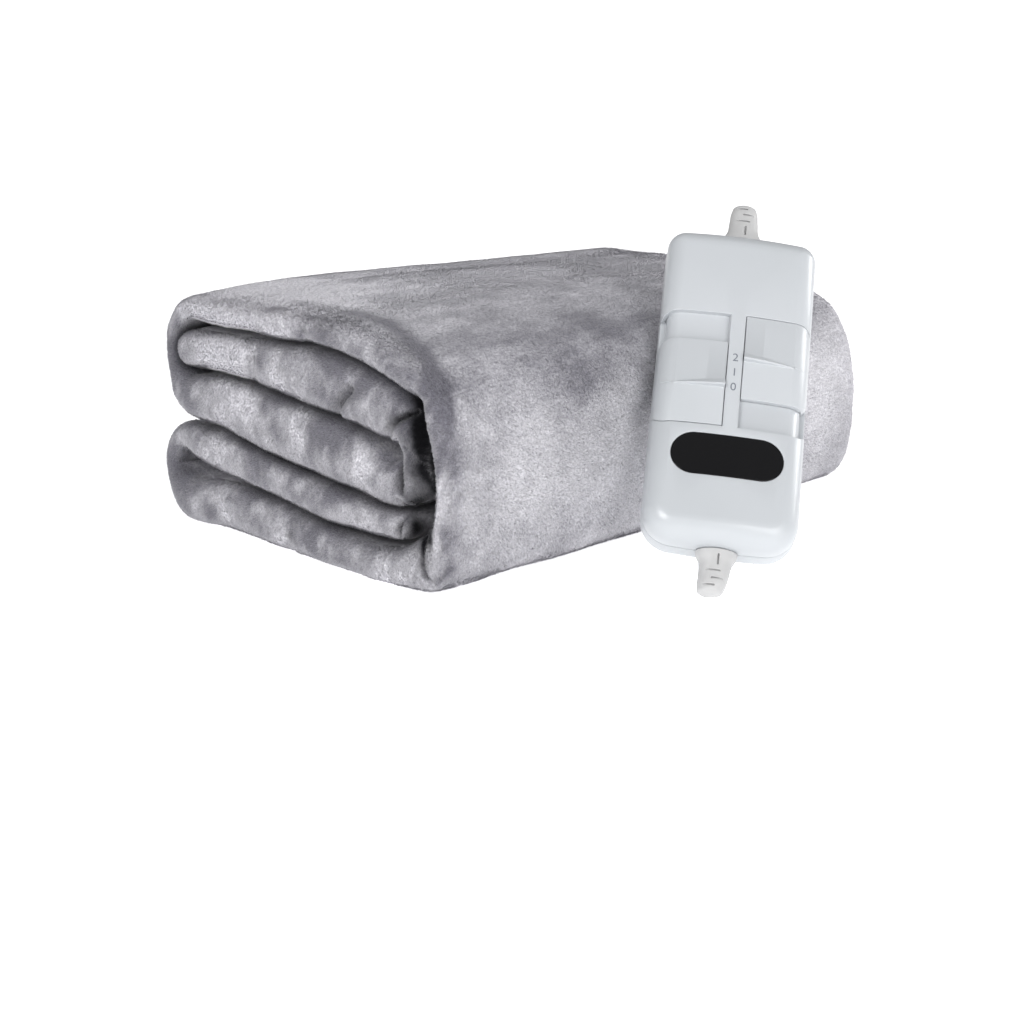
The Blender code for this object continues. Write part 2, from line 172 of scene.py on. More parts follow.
# The strip's path across the pack, in mm: its middle, its thickness, and how far its fold stands in
# from the pack's end plane at the -X end and at the +X end.
Fold = namedtuple("Fold", "place y z thick in_near in_far")
FOLDS = (
    Fold("inner free edge", 76.5, 86, 18, 2.5, 5.5),
    Fold("second band, back", 41, 88.5, 20.5, 1, 2.5),
    Fold("second band, middle", 0, 88.3, 26, 0.5, 2),
    Fold("second band, front", -38, 86, 29.5, 1, 2.5),
    Fold("inner turn, top", -64.5, 80, 26.5, 2.5, 3.5),
    Fold("inner turn, upper side", -76.5, 75, 23.5, 4, 4),
    Fold("inner turn, side", -81.5, 63, 21, 5, 4.5),
    Fold("inner turn, lower side", -76.5, 51.5, 20.5, 5, 4.5),
    Fold("inner turn, foot", -65.5, 46.8, 20.5, 5, 4.5),
    Fold("third band, front", -38, 53.5, 28, 2, 2.5),
    Fold("third band, middle", 4, 58.5, 29.5, 1.5, 1),
    Fold("third band, back", 50, 64, 26, 1, 2.5),
    Fold("upper back turn, foot", 83.5, 65, 18, 3.5, 4.5),
    Fold("upper back turn, side", 95, 84.5, 12, 8.5, 5.5),
    Fold("upper back turn, top", 83.5, 102.5, 12.5, 5.5, 3.5),
    Fold("top band, back", 52, 106.5, 12.5, 1.5, 2),
    Fold("top band, middle", 0, 108.5, 12, 0.5, 1),
    Fold("top band, front", -44, 108, 12.5, 0.5, 2),
    Fold("wrap, shoulder", -89.5, 91.5, 12, 2, 2.5),
    Fold("wrap, side", -100.5, 60.5, 13.5, 4, 3.5),
    Fold("wrap, low side", -99.5, 34.5, 15.5, 3.5, 3.5),
    Fold("wrap, heel", -90.5, 17, 24.5, 3, 2.5),
    Fold("bottom band, front", -68, 8, 18, 4, 2),
    Fold("bottom band, middle", -12, 8.7, 19.4, 3, 0),
    Fold("bottom band, back", 47, 11.8, 23.2, 3, 2),
    Fold("lower back turn, foot", 87.5, 11.7, 18.4, 3.5, 3.5),
    Fold("lower back turn, side", 99, 24.5, 11, 7.5, 5.5),
    Fold("lower back turn, top", 88.5, 39, 13, 5.5, 4.5),
    Fold("fourth band, back", 65, 39, 18.5, 2.5, 3.5),
    Fold("fourth band, middle", 17.5, 34.5, 19, 2.5, 2.5),
    Fold("fourth band, front", -27, 28.7, 17.5, 3.5, 3.5),
    Fold("outer free edge", -68, 28, 13, 4.5, 5.5),
)
# How the pack changes along its length: part of the length, height and width as parts of those in
# FOLDS, and sway to +Y in mm.
Span = namedtuple("Span", "along height width sway")
SPANS = (
    Span(0.00, 1.005, 1.055, 1.5),
    Span(0.22, 1.020, 1.040, -0.3),
    Span(0.50, 0.995, 1.012, -0.5),
    Span(0.78, 0.955, 0.988, -0.3),
    Span(1.00, 0.930, 0.962, -0.4),
)


def smooth_through(knots, values, at):
    """A smooth curve through the rows of values, at the given places along the knots."""
    knots = np.asarray(knots, float)
    values = np.asarray(values, float)
    slopes = np.gradient(values, knots, axis=0)
    index = np.clip(np.searchsorted(knots, at, side="right") - 1, 0, len(knots) - 2)
    step = (knots[index + 1] - knots[index])[:, None]
    t = ((at - knots[index]) / step[:, 0])[:, None]
    start, end = values[index], values[index + 1]
    return (
        (2 * t**3 - 3 * t**2 + 1) * start
        + (t**3 - 2 * t**2 + t) * step * slopes[index]
        + (3 * t**2 - 2 * t**3) * end
        + (t**3 - t**2) * step * slopes[index + 1]
    )


def strip_stations():
    """Rows along the strip in mm, closer in the turns: y, z, thickness and the insets of its two ends."""
    rows = np.array([fold[1:] for fold in FOLDS])
    chords = np.concatenate([[0], np.cumsum(np.hypot(*np.diff(rows[:, :2], axis=0).T))])
    fine = smooth_through(chords, rows, np.linspace(0, chords[-1], STRIP_SAMPLES))
    steps = np.diff(fine[:, :2], axis=0)
    heading = np.unwrap(np.arctan2(steps[:, 1], steps[:, 0]))
    turning = np.abs(np.diff(heading, prepend=heading[0]))
    run = np.hypot(*steps.T)
    need = np.concatenate([[0], np.cumsum(run / STATION_RUN + turning / STATION_TURN)])
    even = np.linspace(0, need[-1], STRIP_STATIONS)
    return np.column_stack([np.interp(even, need, column) for column in fine.T])


def round_strip(first, last_edge, back, first_edge):
    """Values for each point of the ring: along one side, round the last edge, back, and round the first."""
    return np.concatenate([first, last_edge, back[::-1], first_edge])


stations = strip_stations()
middle = stations[:, :2]
heading = np.gradient(middle, axis=0)
heading /= np.linalg.norm(heading, axis=1)[:, None]
across = np.column_stack([-heading[:, 1], heading[:, 0]])
edge_turns = [math.pi * k / (FREE_EDGE_STEPS + 1) for k in range(1, FREE_EDGE_STEPS + 1)]


def strip_ring(fullness):
    """The ring round the strip as (y, z) in mm, at this part of its thickness."""
    half = stations[:, 2:3] * fullness / 2
    last, first = [], []
    for t in edge_turns:
        last.append(middle[-1] + (across[-1] * math.cos(t) + heading[-1] * math.sin(t)) * half[-1])
        first.append(middle[0] - (across[0] * math.cos(t) + heading[0] * math.sin(t)) * half[0])
    return round_strip(middle + across * half, last, middle - across * half, first)


def ring_value(column):
    """A value of each station, for each point of the ring."""
    ends = [np.full(FREE_EDGE_STEPS, column[-1]), np.full(FREE_EDGE_STEPS, column[0])]
    return round_strip(column, ends[0], column, ends[1])


near, far = (ring_value(stations[:, column]) for column in (3, 4))
spans = np.array(SPANS)
places = [(0.0, math.pi / 2 * k / NEAR_END_STEPS) for k in range(NEAR_END_STEPS + 1)]
places += [((k / LENGTH_STEPS) ** NEAR_CROWDING, math.pi / 2) for k in range(1, LENGTH_STEPS)]
places += [(1.0, math.pi / 2 * k / FAR_END_STEPS) for k in range(FAR_END_STEPS, -1, -1)]
rings = []
for along, turn in places:
    inward = 1 - math.cos(turn) ** (2 / END_FULLNESS)
    swell = math.sin(turn) ** (2 / END_FULLNESS)
    ring = strip_ring(END_NOSE + (1 - END_NOSE) * swell)
    x_near = -PACK_LENGTH / 2 + near * MM + END_ROUND * (inward if along == 0 else 1)
    x_far = PACK_LENGTH / 2 - far * MM - END_ROUND * (inward if along == 1 else 1)
    x = x_near * (1 - along) + x_far * along
    height, width, sway = smooth_through(spans[:, 0], spans[:, 1:], x / PACK_LENGTH + 0.5).T
    y = (ring[:, 0] * width + sway) * MM
    z = ring[:, 1] * height * MM
    rings.append(np.column_stack([x, y, z]))

count = len(rings[0])
cloth_points = np.concatenate(rings)
cloth_faces = []
for row in range(len(rings) - 1):
    for i in range(count):
        j = (i + 1) % count
        cloth_faces.append((row * count + i, row * count + j, (row + 1) * count + j, (row + 1) * count + i))
last = 2 * STRIP_STATIONS + FREE_EDGE_STEPS - 1
for base in (0, (len(rings) - 1) * count):
    for k in range(STRIP_STATIONS - 1):
        cloth_faces.append((base + k, base + k + 1, base + last - k - 1, base + last - k))
    cloth_faces.append([base + STRIP_STATIONS - 1 + k for k in range(FREE_EDGE_STEPS + 2)])
    cloth_faces.append([base + (last + k) % count for k in range(FREE_EDGE_STEPS + 2)])


def outward_mesh(name, points, faces):
    """A mesh of a closed shape, with its faces turned outwards."""
    mesh = bpy.data.meshes.new(name)
    mesh.from_pydata([tuple(p) for p in points], [], [tuple(f) for f in faces])
    turned = bmesh.new()
    turned.from_mesh(mesh)
    bmesh.ops.recalc_face_normals(turned, faces=turned.faces)
    turned.to_mesh(mesh)
    turned.free()
    return mesh


def soft_noise(spots):
    """Smooth noise at each of these places, from -1 to 1."""
    return np.array([noise.noise(Vector(spot)) for spot in spots])


cloth_mesh = outward_mesh("plush_blanket", cloth_points, cloth_faces)

# Loose plush never lies flat: wide soft swells, a shorter crumple that is stronger on the end rolls.
Swell = namedtuple("Swell", "size height height_on_ends")
SWELLS = (
    Swell(70 * MM, 0.9 * MM, 0.6 * MM),
    Swell(26 * MM, 0.5 * MM, 1.1 * MM),
    Swell(11 * MM, 0.12 * MM, 0.45 * MM),
)
SWELL_ENDS_REACH = 20 * MM
normals = np.array([vertex.normal[:] for vertex in cloth_mesh.vertices])
half_length = PACK_LENGTH / 2
end_weight = np.clip(1 - (half_length - np.abs(cloth_points[:, 0])) / SWELL_ENDS_REACH, 0, 1)
moved = np.zeros(len(cloth_points))
for index, swell in enumerate(SWELLS):
    shift = Vector((index * 9.1, 3.7, 5.3))
    field = soft_noise(Vector(p) / swell.size + shift for p in cloth_points)
    moved += field * (swell.height * (1 - end_weight) + swell.height_on_ends * end_weight)
cloth_points = cloth_points + normals * moved[:, None]

# Creases and tucks in the open end, in mm: three places of the line in the section, how deep it is
# pressed in (a bulge is less than 0) and its half width. They fade out along the pack.
Crease = namedtuple("Crease", "place y1 z1 y2 z2 y3 z3 deep wide")
CREASES = (
    Crease("pinch under the second band", -33, 75, -36, 80, -46, 88, 6.5, 1.9),
    Crease("lip beside the pinch", -41, 73, -46, 79, -56, 84, -2.4, 4.5),
    Crease("curl at the inner turn", -64, 67, -68, 75, -83, 83, 6, 1.9),
    Crease("bulge of the inner turn", -78, 75, -86, 72, -91, 62, -2.2, 6),
    Crease("tuck at the third band's front", -70, 64.5, -77, 60, -74, 46, 7, 1.9),
    Crease("hairline beside the tuck", -80, 68, -83, 64, -86, 60, 2, 1.0),
    Crease("hollow beside the wrap", -89, 88, -91, 64, -87, 44, 6, 5.5),
    Crease("first ply in the free edge", -72, 41, -76, 31, -71, 19, 4, 1.1),
    Crease("second ply in the free edge", -78, 40, -82, 32, -77, 22, 4, 1.1),
    Crease("swell of the third band", -30, 52, -50, 54, -66, 55, -2, 7),
    Crease("swell of the second band", 60, 84, 30, 84, -10, 84, -1.2, 7),
    Crease("heel wrinkle by the cavity", -92, 28, -90, 17, -94, 9, 3, 1.5),
    Crease("heel wrinkle near the side", -112, 28, -108, 18, -94, 5, 3, 1.6),
    Crease("dimple in the top band", -8, 113, -16, 108, -14, 103, 2.4, 2.6),
    Crease("dimple in the second band", 30, 78, 24, 84, 26, 92, 2.2, 3),
    Crease("dimple in the fourth band", 30, 44, 22, 38, 26, 30, 1.8, 3),
    Crease("dimple in the bottom band", 5, 2, 0, 10, 6, 18, 2.2, 3),
    Crease("end of the wrap, rim", -98, 94, -103, 62, -101, 32, -1.2, 3),
    Crease("end of the wrap, hollow", -104, 96, -109, 62, -107, 30, 1.6, 2.6),
)
CREASE_STEPS, CREASE_REACH, CREASE_FADE, HIGHEST_BULGE = 14, 16 * MM, 1.5, 4 * MM
end_plane = np.min(np.array(rings)[:, :, 0], axis=0)
from_end = cloth_points[:, 0] - np.tile(end_plane, len(rings))
fade = np.clip(1 - from_end / CREASE_REACH, 0, 1) ** CREASE_FADE
for crease in CREASES:
    corners = np.array(crease[1:7]).reshape(3, 2)
    t = np.linspace(0, 1, CREASE_STEPS)[:, None]
    line = (1 - t) ** 2 * corners[0] + 2 * t * (1 - t) * corners[1] + t**2 * corners[2]
    here = cloth_points[:, 1:] / MM
    apart = np.min(np.linalg.norm(here[:, None, :] - line[None], axis=2), axis=1)
    cloth_points[:, 0] += crease.deep * MM * np.exp(-((apart / crease.wide) ** 2)) * fade
cloth_points[:, 0] = np.maximum(cloth_points[:, 0], -half_length - HIGHEST_BULGE)
cloth_points[:, 2] = np.maximum(cloth_points[:, 2], 0)
cloth_mesh.vertices.foreach_set("co", cloth_points.ravel())
cloth_mesh.update()
cloth_mesh.shade_smooth()

# Where the pile is crushed: soft blotches everywhere, 1 brushed up, towards the light, and -1 pressed
# flat. The end rolls are crushed most and the long side least. The patches, the rubbed edge and the
# upper halves of the rolls add to the same value below, with painted light and shade among them.
Blotch = namedtuple("Blotch", "size part")
BLOTCHES = (Blotch(34 * MM, 0.6), Blotch(14 * MM, 0.75), Blotch(6 * MM, 0.5))
BLOTCH_STRETCH, CRUSH_EDGE, CRUSH_END, CRUSH_SIDE, CRUSH_TOP = 0.6, 2.4, 0.8, 0.3, 0.2
# Fine strokes, drawn out by the hand that smoothed the ends, lean across the rolls. Their size is in
# mm, and away from the open end they keep the last of these parts of their strength.
STROKE_SIZE, STROKE_STRETCH, STROKE_SLANT, STROKE_PART = 2.6, 3.2, math.radians(28), 0.75
STROKE_ALONG_PACK, STROKE_ELSEWHERE = 0.4, 0.35
# A patch's place on the pack in mm (the open end is at x -150), its reach, and how far it lifts the
# pile's tone and turns its tufts, as brushing does; less than 0 darkens it. Some are painted light and
# shade: the dark patches on the bands' tops, in the back turns, on the inner turn by the wrap and beside
# the tuck are painted shade, the light ones on the wrap's rim painted highlights, and those on the long
# side by the case and at its right end painted light.
Patch = namedtuple("Patch", "place x y z reach brushed")
PATCHES = (
    Patch("top band's end, left", -150, 50, 109, 20, 0.7),
    Patch("top band's end, middle", -150, 12, 110, 9, 0.5),
    Patch("top band's end, dip", -148, -10, 113, 7, -0.6),
    Patch("top band's end, right", -150, -46, 109, 16, 0.6),
    Patch("second band's end, left", -150, 52, 87, 15, 0.7),
    Patch("second band's top, left", -148, 16, 99, 12, -0.9),
    Patch("second band's end, middle", -150, -10, 87, 12, 0.7),
    Patch("second band's top, middle", -148, -32, 101, 13, -1.3),
    Patch("second band's top, right", -148, -56, 97, 12, -1.2),
    Patch("second band's end, right", -150, -60, 83, 9, 0.5),
    Patch("inner turn, beside the wrap", -147, -88, 86, 12, -1.3),
    Patch("curl", -150, -73, 74, 7, 0.9),
    Patch("third band's end, left end", -148, 78, 66, 12, -0.9),
    Patch("third band's end, left", -150, 43, 66, 13, 0.6),
    Patch("third band's top, middle", -148, 15, 76, 9, -0.8),
    Patch("third band's end, middle", -150, -4, 62, 10, 0.7),
    Patch("third band's top, right", -148, -28, 67, 10, -1.1),
    Patch("third band's end, right", -150, -53, 54, 11, 0.8),
    Patch("third band beside the tuck", -148, -71, 62, 5, -1.0),
    Patch("inner turn, front", -150, -85, 54, 7, 0.8),
    Patch("inner turn, wall", -146, -95, 63, 8, -1.3),
    Patch("fourth band's end, left", -150, 64, 47, 12, 0.6),
    Patch("fourth band's top, left", -148, 26, 46, 11, -1.0),
    Patch("fourth band's end, middle", -150, -14, 38, 9, 0.6),
    Patch("fourth band's top, right", -148, -32, 38, 9, -1.0),
    Patch("fourth band's end, right", -150, -58, 28, 7, 0.5),
    Patch("bottom band's end, left", -150, 58, 24, 10, 0.5),
    Patch("bottom band's foot, left", -148, 70, 9, 10, -0.6),
    Patch("bottom band's end, middle", -150, 16, 20, 10, 0.7),
    Patch("bottom band's foot, middle", -148, -18, 8, 11, -0.5),
    Patch("bottom band's end, right", -150, -61, 13, 10, 0.6),
    Patch("heel", -148, -92, 12, 9, -0.7),
    Patch("upper back turn", -144, 98, 84, 17, -1.6),
    Patch("lower back turn", -144, 100, 25, 13, -0.7),
    Patch("rim of the wrap, high", -150, -100, 88, 5, 0.8),
    Patch("rim of the wrap, middle", -150, -100, 66, 5, 0.8),
    Patch("rim of the wrap, low", -150, -99, 44, 5, 0.8),
    Patch("top, far left", -112, 46, 118, 46, 2.2),
    Patch("shoulder, left", -85, -78, 114, 20, -0.5),
    Patch("shoulder, middle", -30, -82, 112, 24, -0.9),
    Patch("shoulder, right", 35, -84, 110, 26, -0.7),
    Patch("side, left", -95, -112, 60, 30, 0.5),
    Patch("side, by the case", -32, -112, 55, 28, 0.7),
    Patch("side, high", -60, -108, 88, 16, -0.6),
    Patch("side, low", 0, -112, 22, 18, 0.5),
    Patch("side, right", 110, -108, 60, 40, 0.9),
)
PATCH_WANDER, PATCH_WANDER_SIZE = 5, 14
# Deep places that hardly any light comes out of, in mm, and how much of it they keep.
Shade = namedtuple("Shade", "place x y z reach kept")
SHADES = (
    Shade("inner turn beside the wrap, high", -142, -89, 82, 9, 1.0),
    Shade("inner turn beside the wrap, middle", -142, -90, 70, 9, 1.1),
    Shade("inner turn beside the wrap, low", -142, -90, 58, 9, 0.9),
    Shade("inner turn beside the wrap, foot", -143, -92, 48, 8, 0.8),
    Shade("cavity by the heel", -143, -90, 34, 12, 1.7),
    Shade("round of the free edge", -137, -82, 31, 6, 0.8),
    Shade("upper back turn's hollow", -138, 92, 84, 9, 0.6),
    Shade("lower back turn's hollow", -138, 94, 25, 8, 0.35),
)
# The edge where the top and the wrap turn over to the open end is rubbed flat along this line, in mm,
# less and less towards the heel.
Rub = namedtuple("Rub", "x y z brushed")
RUBBED_EDGE = (
    Rub(-122, 34, 118, -1.3),
    Rub(-124, -18, 118, -1.3),
    Rub(-129, -60, 116, -1.5),
    Rub(-137, -90, 105, -1.6),
    Rub(-144, -106, 86, -1.4),
    Rub(-146, -110, 62, -0.9),
    Rub(-145, -109, 34, -0.6),
    Rub(-143, -106, 16, -0.5),
    Rub(-142, -99, 5, -0.4),
)
RUBBED_REACH, RUBBED_STEPS, RUBBED_WANDER = 5.5, 110, 0.3
# On the inner bands' ends, inwards of these two planes in mm, the upper half of each roll is crushed and
# painted darker, as painted shade under the band above.
INNER_END_X, INNER_END_X_FADE, INNER_END_Z, INNER_END_Z_FADE = -135, 6, 105, 5
UPPER_HALF_CRUSH_AND_SHADE, UPPER_HALF_FACING, MOST_NAP_AND_SHADE = 0.9, 0.1, 1.1
# Outwards of this plane in mm the wrap itself stands in the light, with no shade on it.
WRAP_LIT_Y, WRAP_LIT_FADE = -100, 2.5
cloth_normals = np.zeros(len(cloth_points) * 3)
cloth_mesh.vertices.foreach_get("normal", cloth_normals)
cloth_normals = cloth_normals.reshape(-1, 3)
level = cloth_normals[:, 2] ** 2
upright_end = cloth_normals[:, 0] ** 2 * (cloth_points[:, 0] < 0)
nap_and_shade = np.zeros(len(cloth_points))
for index, blotch in enumerate(BLOTCHES):
    for weight, stretch in ((1 - level, (1, 1, BLOTCH_STRETCH)), (level, (BLOTCH_STRETCH, 1, 1))):
        spots = cloth_points * stretch / blotch.size + (index * 7.3, 3.1, 1.7)
        nap_and_shade += weight * blotch.part * soft_noise(spots)
nap_and_shade = np.tanh(nap_and_shade * CRUSH_EDGE) * (
    CRUSH_SIDE + (CRUSH_END - CRUSH_SIDE) * cloth_normals[:, 0] ** 2 + CRUSH_TOP * level
)
along_pack, along_y, along_z = cloth_points.T
along_stroke = along_y * math.sin(STROKE_SLANT) - along_z * math.cos(STROKE_SLANT)
across_stroke = along_y * math.cos(STROKE_SLANT) + along_z * math.sin(STROKE_SLANT)
strokes = [along_pack * STROKE_ALONG_PACK, along_stroke / STROKE_STRETCH, across_stroke]
strokes = soft_noise(np.column_stack(strokes) / (STROKE_SIZE * MM))
nap_and_shade += strokes * STROKE_PART * (STROKE_ELSEWHERE + (1 - STROKE_ELSEWHERE) * upright_end)
# Unseeded, noise_vector would start from the clock and differ at each run.
noise.seed_set(11)
wandered = np.array([noise.noise_vector(Vector(p) / (PATCH_WANDER_SIZE * MM)) for p in cloth_points])
wandered = cloth_points / MM + wandered * PATCH_WANDER
# Nap patches, with the table's painted light and shade.
for patch in PATCHES:
    apart = np.linalg.norm(wandered - (patch.x, patch.y, patch.z), axis=1)
    nap_and_shade += patch.brushed * np.exp(-((apart / patch.reach) ** 2))
along_edge = np.linspace(0, len(RUBBED_EDGE) - 1, RUBBED_STEPS)
edge_line = [np.interp(along_edge, range(len(RUBBED_EDGE)), column) for column in zip(*RUBBED_EDGE)]
edge_line = np.column_stack(edge_line)
spots = RUBBED_WANDER * wandered + (1 - RUBBED_WANDER) * cloth_points / MM
apart = np.linalg.norm(spots[:, None] - edge_line[None, :, :3], axis=2)
nap_and_shade += edge_line[np.argmin(apart, axis=1), 3] * np.exp(-((np.min(apart, axis=1) / RUBBED_REACH) ** 2))
# Painted shade, with crushed nap, on the upper half of each inner roll.
inner_end = np.clip((INNER_END_X - along_pack / MM) / INNER_END_X_FADE, 0, 1)
inner_end *= np.clip((INNER_END_Z - along_z / MM) / INNER_END_Z_FADE, 0, 1)
nap_and_shade -= UPPER_HALF_CRUSH_AND_SHADE * np.clip(cloth_normals[:, 2] - UPPER_HALF_FACING, 0, 1) * inner_end
hidden = np.zeros(len(cloth_points))
for shade in SHADES:
    apart = np.linalg.norm(wandered - (shade.x, shade.y, shade.z), axis=1)
    hidden += shade.kept * np.exp(-((apart / shade.reach) ** 2))
hidden *= np.clip((along_y / MM - WRAP_LIT_Y) / WRAP_LIT_FADE, 0, 1)
nap_and_shade = np.clip(nap_and_shade, -MOST_NAP_AND_SHADE, MOST_NAP_AND_SHADE)

# Painted shade where two layers touch: the pile there is pressed together and no light comes out, so the
# cloth is painted darker the closer the next layer, 1 in a closed gap. The gap is measured across the
# pack, and only on cloth that faces along it, straight out.
GAP_SHADE_REACH, GAP_SHADE_EDGE, GAP_SHADE_BLUR, FACING_ACROSS, CLEAR_OF_CLOTH = 9 * MM, 1.3, 2, 0.2, 0.4 * MM
quads = np.array([face for face in cloth_faces if len(face) == 4])
shell = BVHTree.FromPolygons([tuple(p) for p in cloth_points], [tuple(q) for q in quads])
room = np.full(len(cloth_points), GAP_SHADE_REACH)
for index, (spot, out) in enumerate(zip(cloth_points, cloth_normals)):
    level_out = Vector((0, out[1], out[2]))
    way = level_out.normalized() if level_out.length > FACING_ACROSS else Vector(out)
    away = shell.ray_cast(Vector(spot) + Vector(out) * CLEAR_OF_CLOTH, way, GAP_SHADE_REACH)[3]
    if away is not None:
        room[index] = away
gap_shade = ((1 - room / GAP_SHADE_REACH) ** GAP_SHADE_EDGE).reshape(len(rings), count)
for _ in range(GAP_SHADE_BLUR):
    gap_shade = (np.roll(gap_shade, 1, axis=1) + 2 * gap_shade + np.roll(gap_shade, -1, axis=1)) / 4
    gap_shade[1:-1] = (gap_shade[:-2] + 2 * gap_shade[1:-1] + gap_shade[2:]) / 4
# The deep places' painted shade joins the painted gap shade.
gap_shade = np.clip(gap_shade.ravel() + hidden, 0, 1)

# Red is the nap with its painted light and shade, blue is what the painted gap shade leaves.
tone_and_shade = np.ones((len(cloth_points), 4))
tone_and_shade[:, 0] = np.clip(0.5 + 0.5 * nap_and_shade, 0, 1)
tone_and_shade[:, 2] = 1 - gap_shade
cloth_tone_and_shade = cloth_mesh.attributes.new("pile_tone_and_shade", "FLOAT_COLOR", "POINT")
cloth_tone_and_shade.data.foreach_set("color", tone_and_shade.ravel())

# Silver-grey flannel plush: brushed, knitted polyester. Between the pile's roots the ground is painted a
# shade dimmer, as the shade under the tufts, and mottled by the tufts, with a faint sheen at each roll's
# rim. Its real loops of 0.5 mm are drawn at about 1 mm, 900 a metre, so that they show.
KNIT_LOOPS, KNIT_LOW, KNIT_HIGH, KNIT_RELIEF = 900.0, 0.3, 0.7, 0.25 * MM
plush, tree, shader = new_material(
    "silver_grey_plush_ground",
    Roughness=0.95,
    IOR=1.45,
    Specular_IOR_Level=0.1,
    Sheen_Weight=0.4,
    Sheen_Roughness=0.45,
    Sheen_Tint=linear("#f1f0f5"),
)
place = add_node(tree, "TexCoord")
tone = add_node(tree, "Attribute", attribute_name="pile_tone_and_shade")
lay = add_node(tree, "SeparateColor", {0: tone.outputs["Color"]})
knit = add_node(tree, "TexNoise", {"Vector": place.outputs["Object"], "Scale": KNIT_LOOPS, "Detail": 2.0})
knit_tone = add_node(tree, "MapRange", {0: knit.outputs[0], 1: KNIT_LOW, 2: KNIT_HIGH})
tones = {0: lay.outputs[0], 6: linear("#77767e"), 7: linear("#e9e8ec")}
patch = add_node(tree, "Mix", tones, data_type="RGBA")
tones = {0: knit_tone.outputs[0], 6: linear("#bcbbbf"), 7: linear("#ffffff")}
mottle = add_node(tree, "Mix", tones, data_type="RGBA")
# Painted shade in the gaps between layers and in the deep places.
tones = {0: lay.outputs[2], 6: linear("#1c1c21"), 7: linear("#ffffff")}
gap = add_node(tree, "Mix", tones, data_type="RGBA")
tones = {0: 1.0, 6: patch.outputs[2], 7: gap.outputs[2]}
open_patch = add_node(tree, "Mix", tones, data_type="RGBA", blend_type="MULTIPLY")
tones = {0: 1.0, 6: open_patch.outputs[2], 7: mottle.outputs[2]}
ground = add_node(tree, "Mix", tones, data_type="RGBA", blend_type="MULTIPLY")
tufted = add_node(tree, "Bump", {"Height": knit.outputs[0], "Strength": 0.35, "Distance": KNIT_RELIEF})
tree.links.new(ground.outputs[2], shader.inputs["Base Color"])
tree.links.new(tufted.outputs[0], shader.inputs["Normal"])
cloth_mesh.materials.append(plush)

blanket = place_object("plush_blanket", cloth_mesh)
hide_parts("folded_blanket")
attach(blanket, "blanket_and_case")

# ---------------------------------------------------------------------------------------------
# Pile
# Short soft polyester tufts, knitted in with the ground and raised by brushing. They lie one way, and
# another where the pack was pressed, so that patches of them catch the light. The real pile has some
# 20 tufts a square millimetre, drawn here as 3, each with a normal of its own.
# ---------------------------------------------------------------------------------------------

TUFT_LENGTH, TUFT_WIDTH, TUFT_SINK = 1.15 * MM, 0.34 * MM, 0.2 * MM
SHORTEST, LENGTHS_DIFFER = 0.75, 0.5
OPEN_SPACE, STANDING = 25 * MM, 0.4 * MM
# The pile lies down towards the floor on upright cloth, and along the pack on level cloth.
FALL_UPRIGHT, FALL_LEVEL = np.array([0.35, -0.1, -1.0]), np.array([-1.0, -0.4, 0])
CRUSH_TURN = math.radians(80)
# How far tufts lean over, and how much single tufts differ: at the ends, on the top, on the long side.
LEANS = (math.radians(55), math.radians(74), math.radians(55))
GRAINS = (0.8, 0.4, 2.2)
ENDS_REACH, ENDS_HOLD = 26 * MM, 0.3
# How much single tufts differ in where they point, how they lean, their twist, normal and shade.
TURN_DIFFERS, LEAN_DIFFERS, TWIST_DIFFERS, NORMAL_DIFFERS, SHADE_DIFFERS = 0.25, 0.12, 0.6, 0.12, 0.16
NORMAL_LEAN = 0.25
# Region of the pack and its tufts.
Region = namedtuple("Region", "name tufts")
REGIONS = (
    Region("pile_near_end", 180000),
    Region("pile_long_side", 150000),
    Region("pile_top", 150000),
    Region("pile_far_sides", 110000),
)
# Where one region ends and the next begins, and how far these edges wander.
ENDS_BEGIN, BACK_BEGINS, FACING_SIDE, FACING_TOP = 13 * MM, 85 * MM, -0.5, 0.3
EDGE_WANDERS, FACING_WANDERS = 4 * MM, 0.12

corners = cloth_points[quads]
quad_middle = corners.mean(axis=1)
diagonals = np.cross(corners[:, 2] - corners[:, 0], corners[:, 3] - corners[:, 1])
quad_area = np.linalg.norm(diagonals, axis=1) / 2
quad_normal = cloth_normals[quads].mean(axis=1)
quad_normal /= np.linalg.norm(quad_normal, axis=1)[:, None]

# Only cloth that has open space before it gets pile: the layers' inner faces are pressed together.
open_cloth = np.zeros(len(quads), bool)
for index, (spot, out) in enumerate(zip(quad_middle, quad_normal)):
    if spot[2] > STANDING:
        start = Vector(spot) + Vector(out) * CLEAR_OF_CLOTH
        toward_end = Vector((1 if spot[0] > 0 else -1, 0, 0))
        ways = (Vector(out), (Vector(out) + toward_end).normalized())
        open_cloth[index] = any(shell.ray_cast(start, way, OPEN_SPACE)[0] is None for way in ways)

# The regions run into each other, with no line between them.
dice = np.random.default_rng(11)
end_reach = half_length - ENDS_BEGIN
along_pack = quad_middle[:, 0] + dice.normal(0, EDGE_WANDERS, len(quads))
facing = quad_normal + dice.normal(0, FACING_WANDERS, quad_normal.shape)
where = np.select(
    [
        along_pack < -end_reach,
        (along_pack < end_reach) & (facing[:, 1] < FACING_SIDE),
        (along_pack < end_reach) & (facing[:, 2] > FACING_TOP) & (quad_middle[:, 1] < BACK_BEGINS),
    ],
    [0, 1, 2],
    3,
)


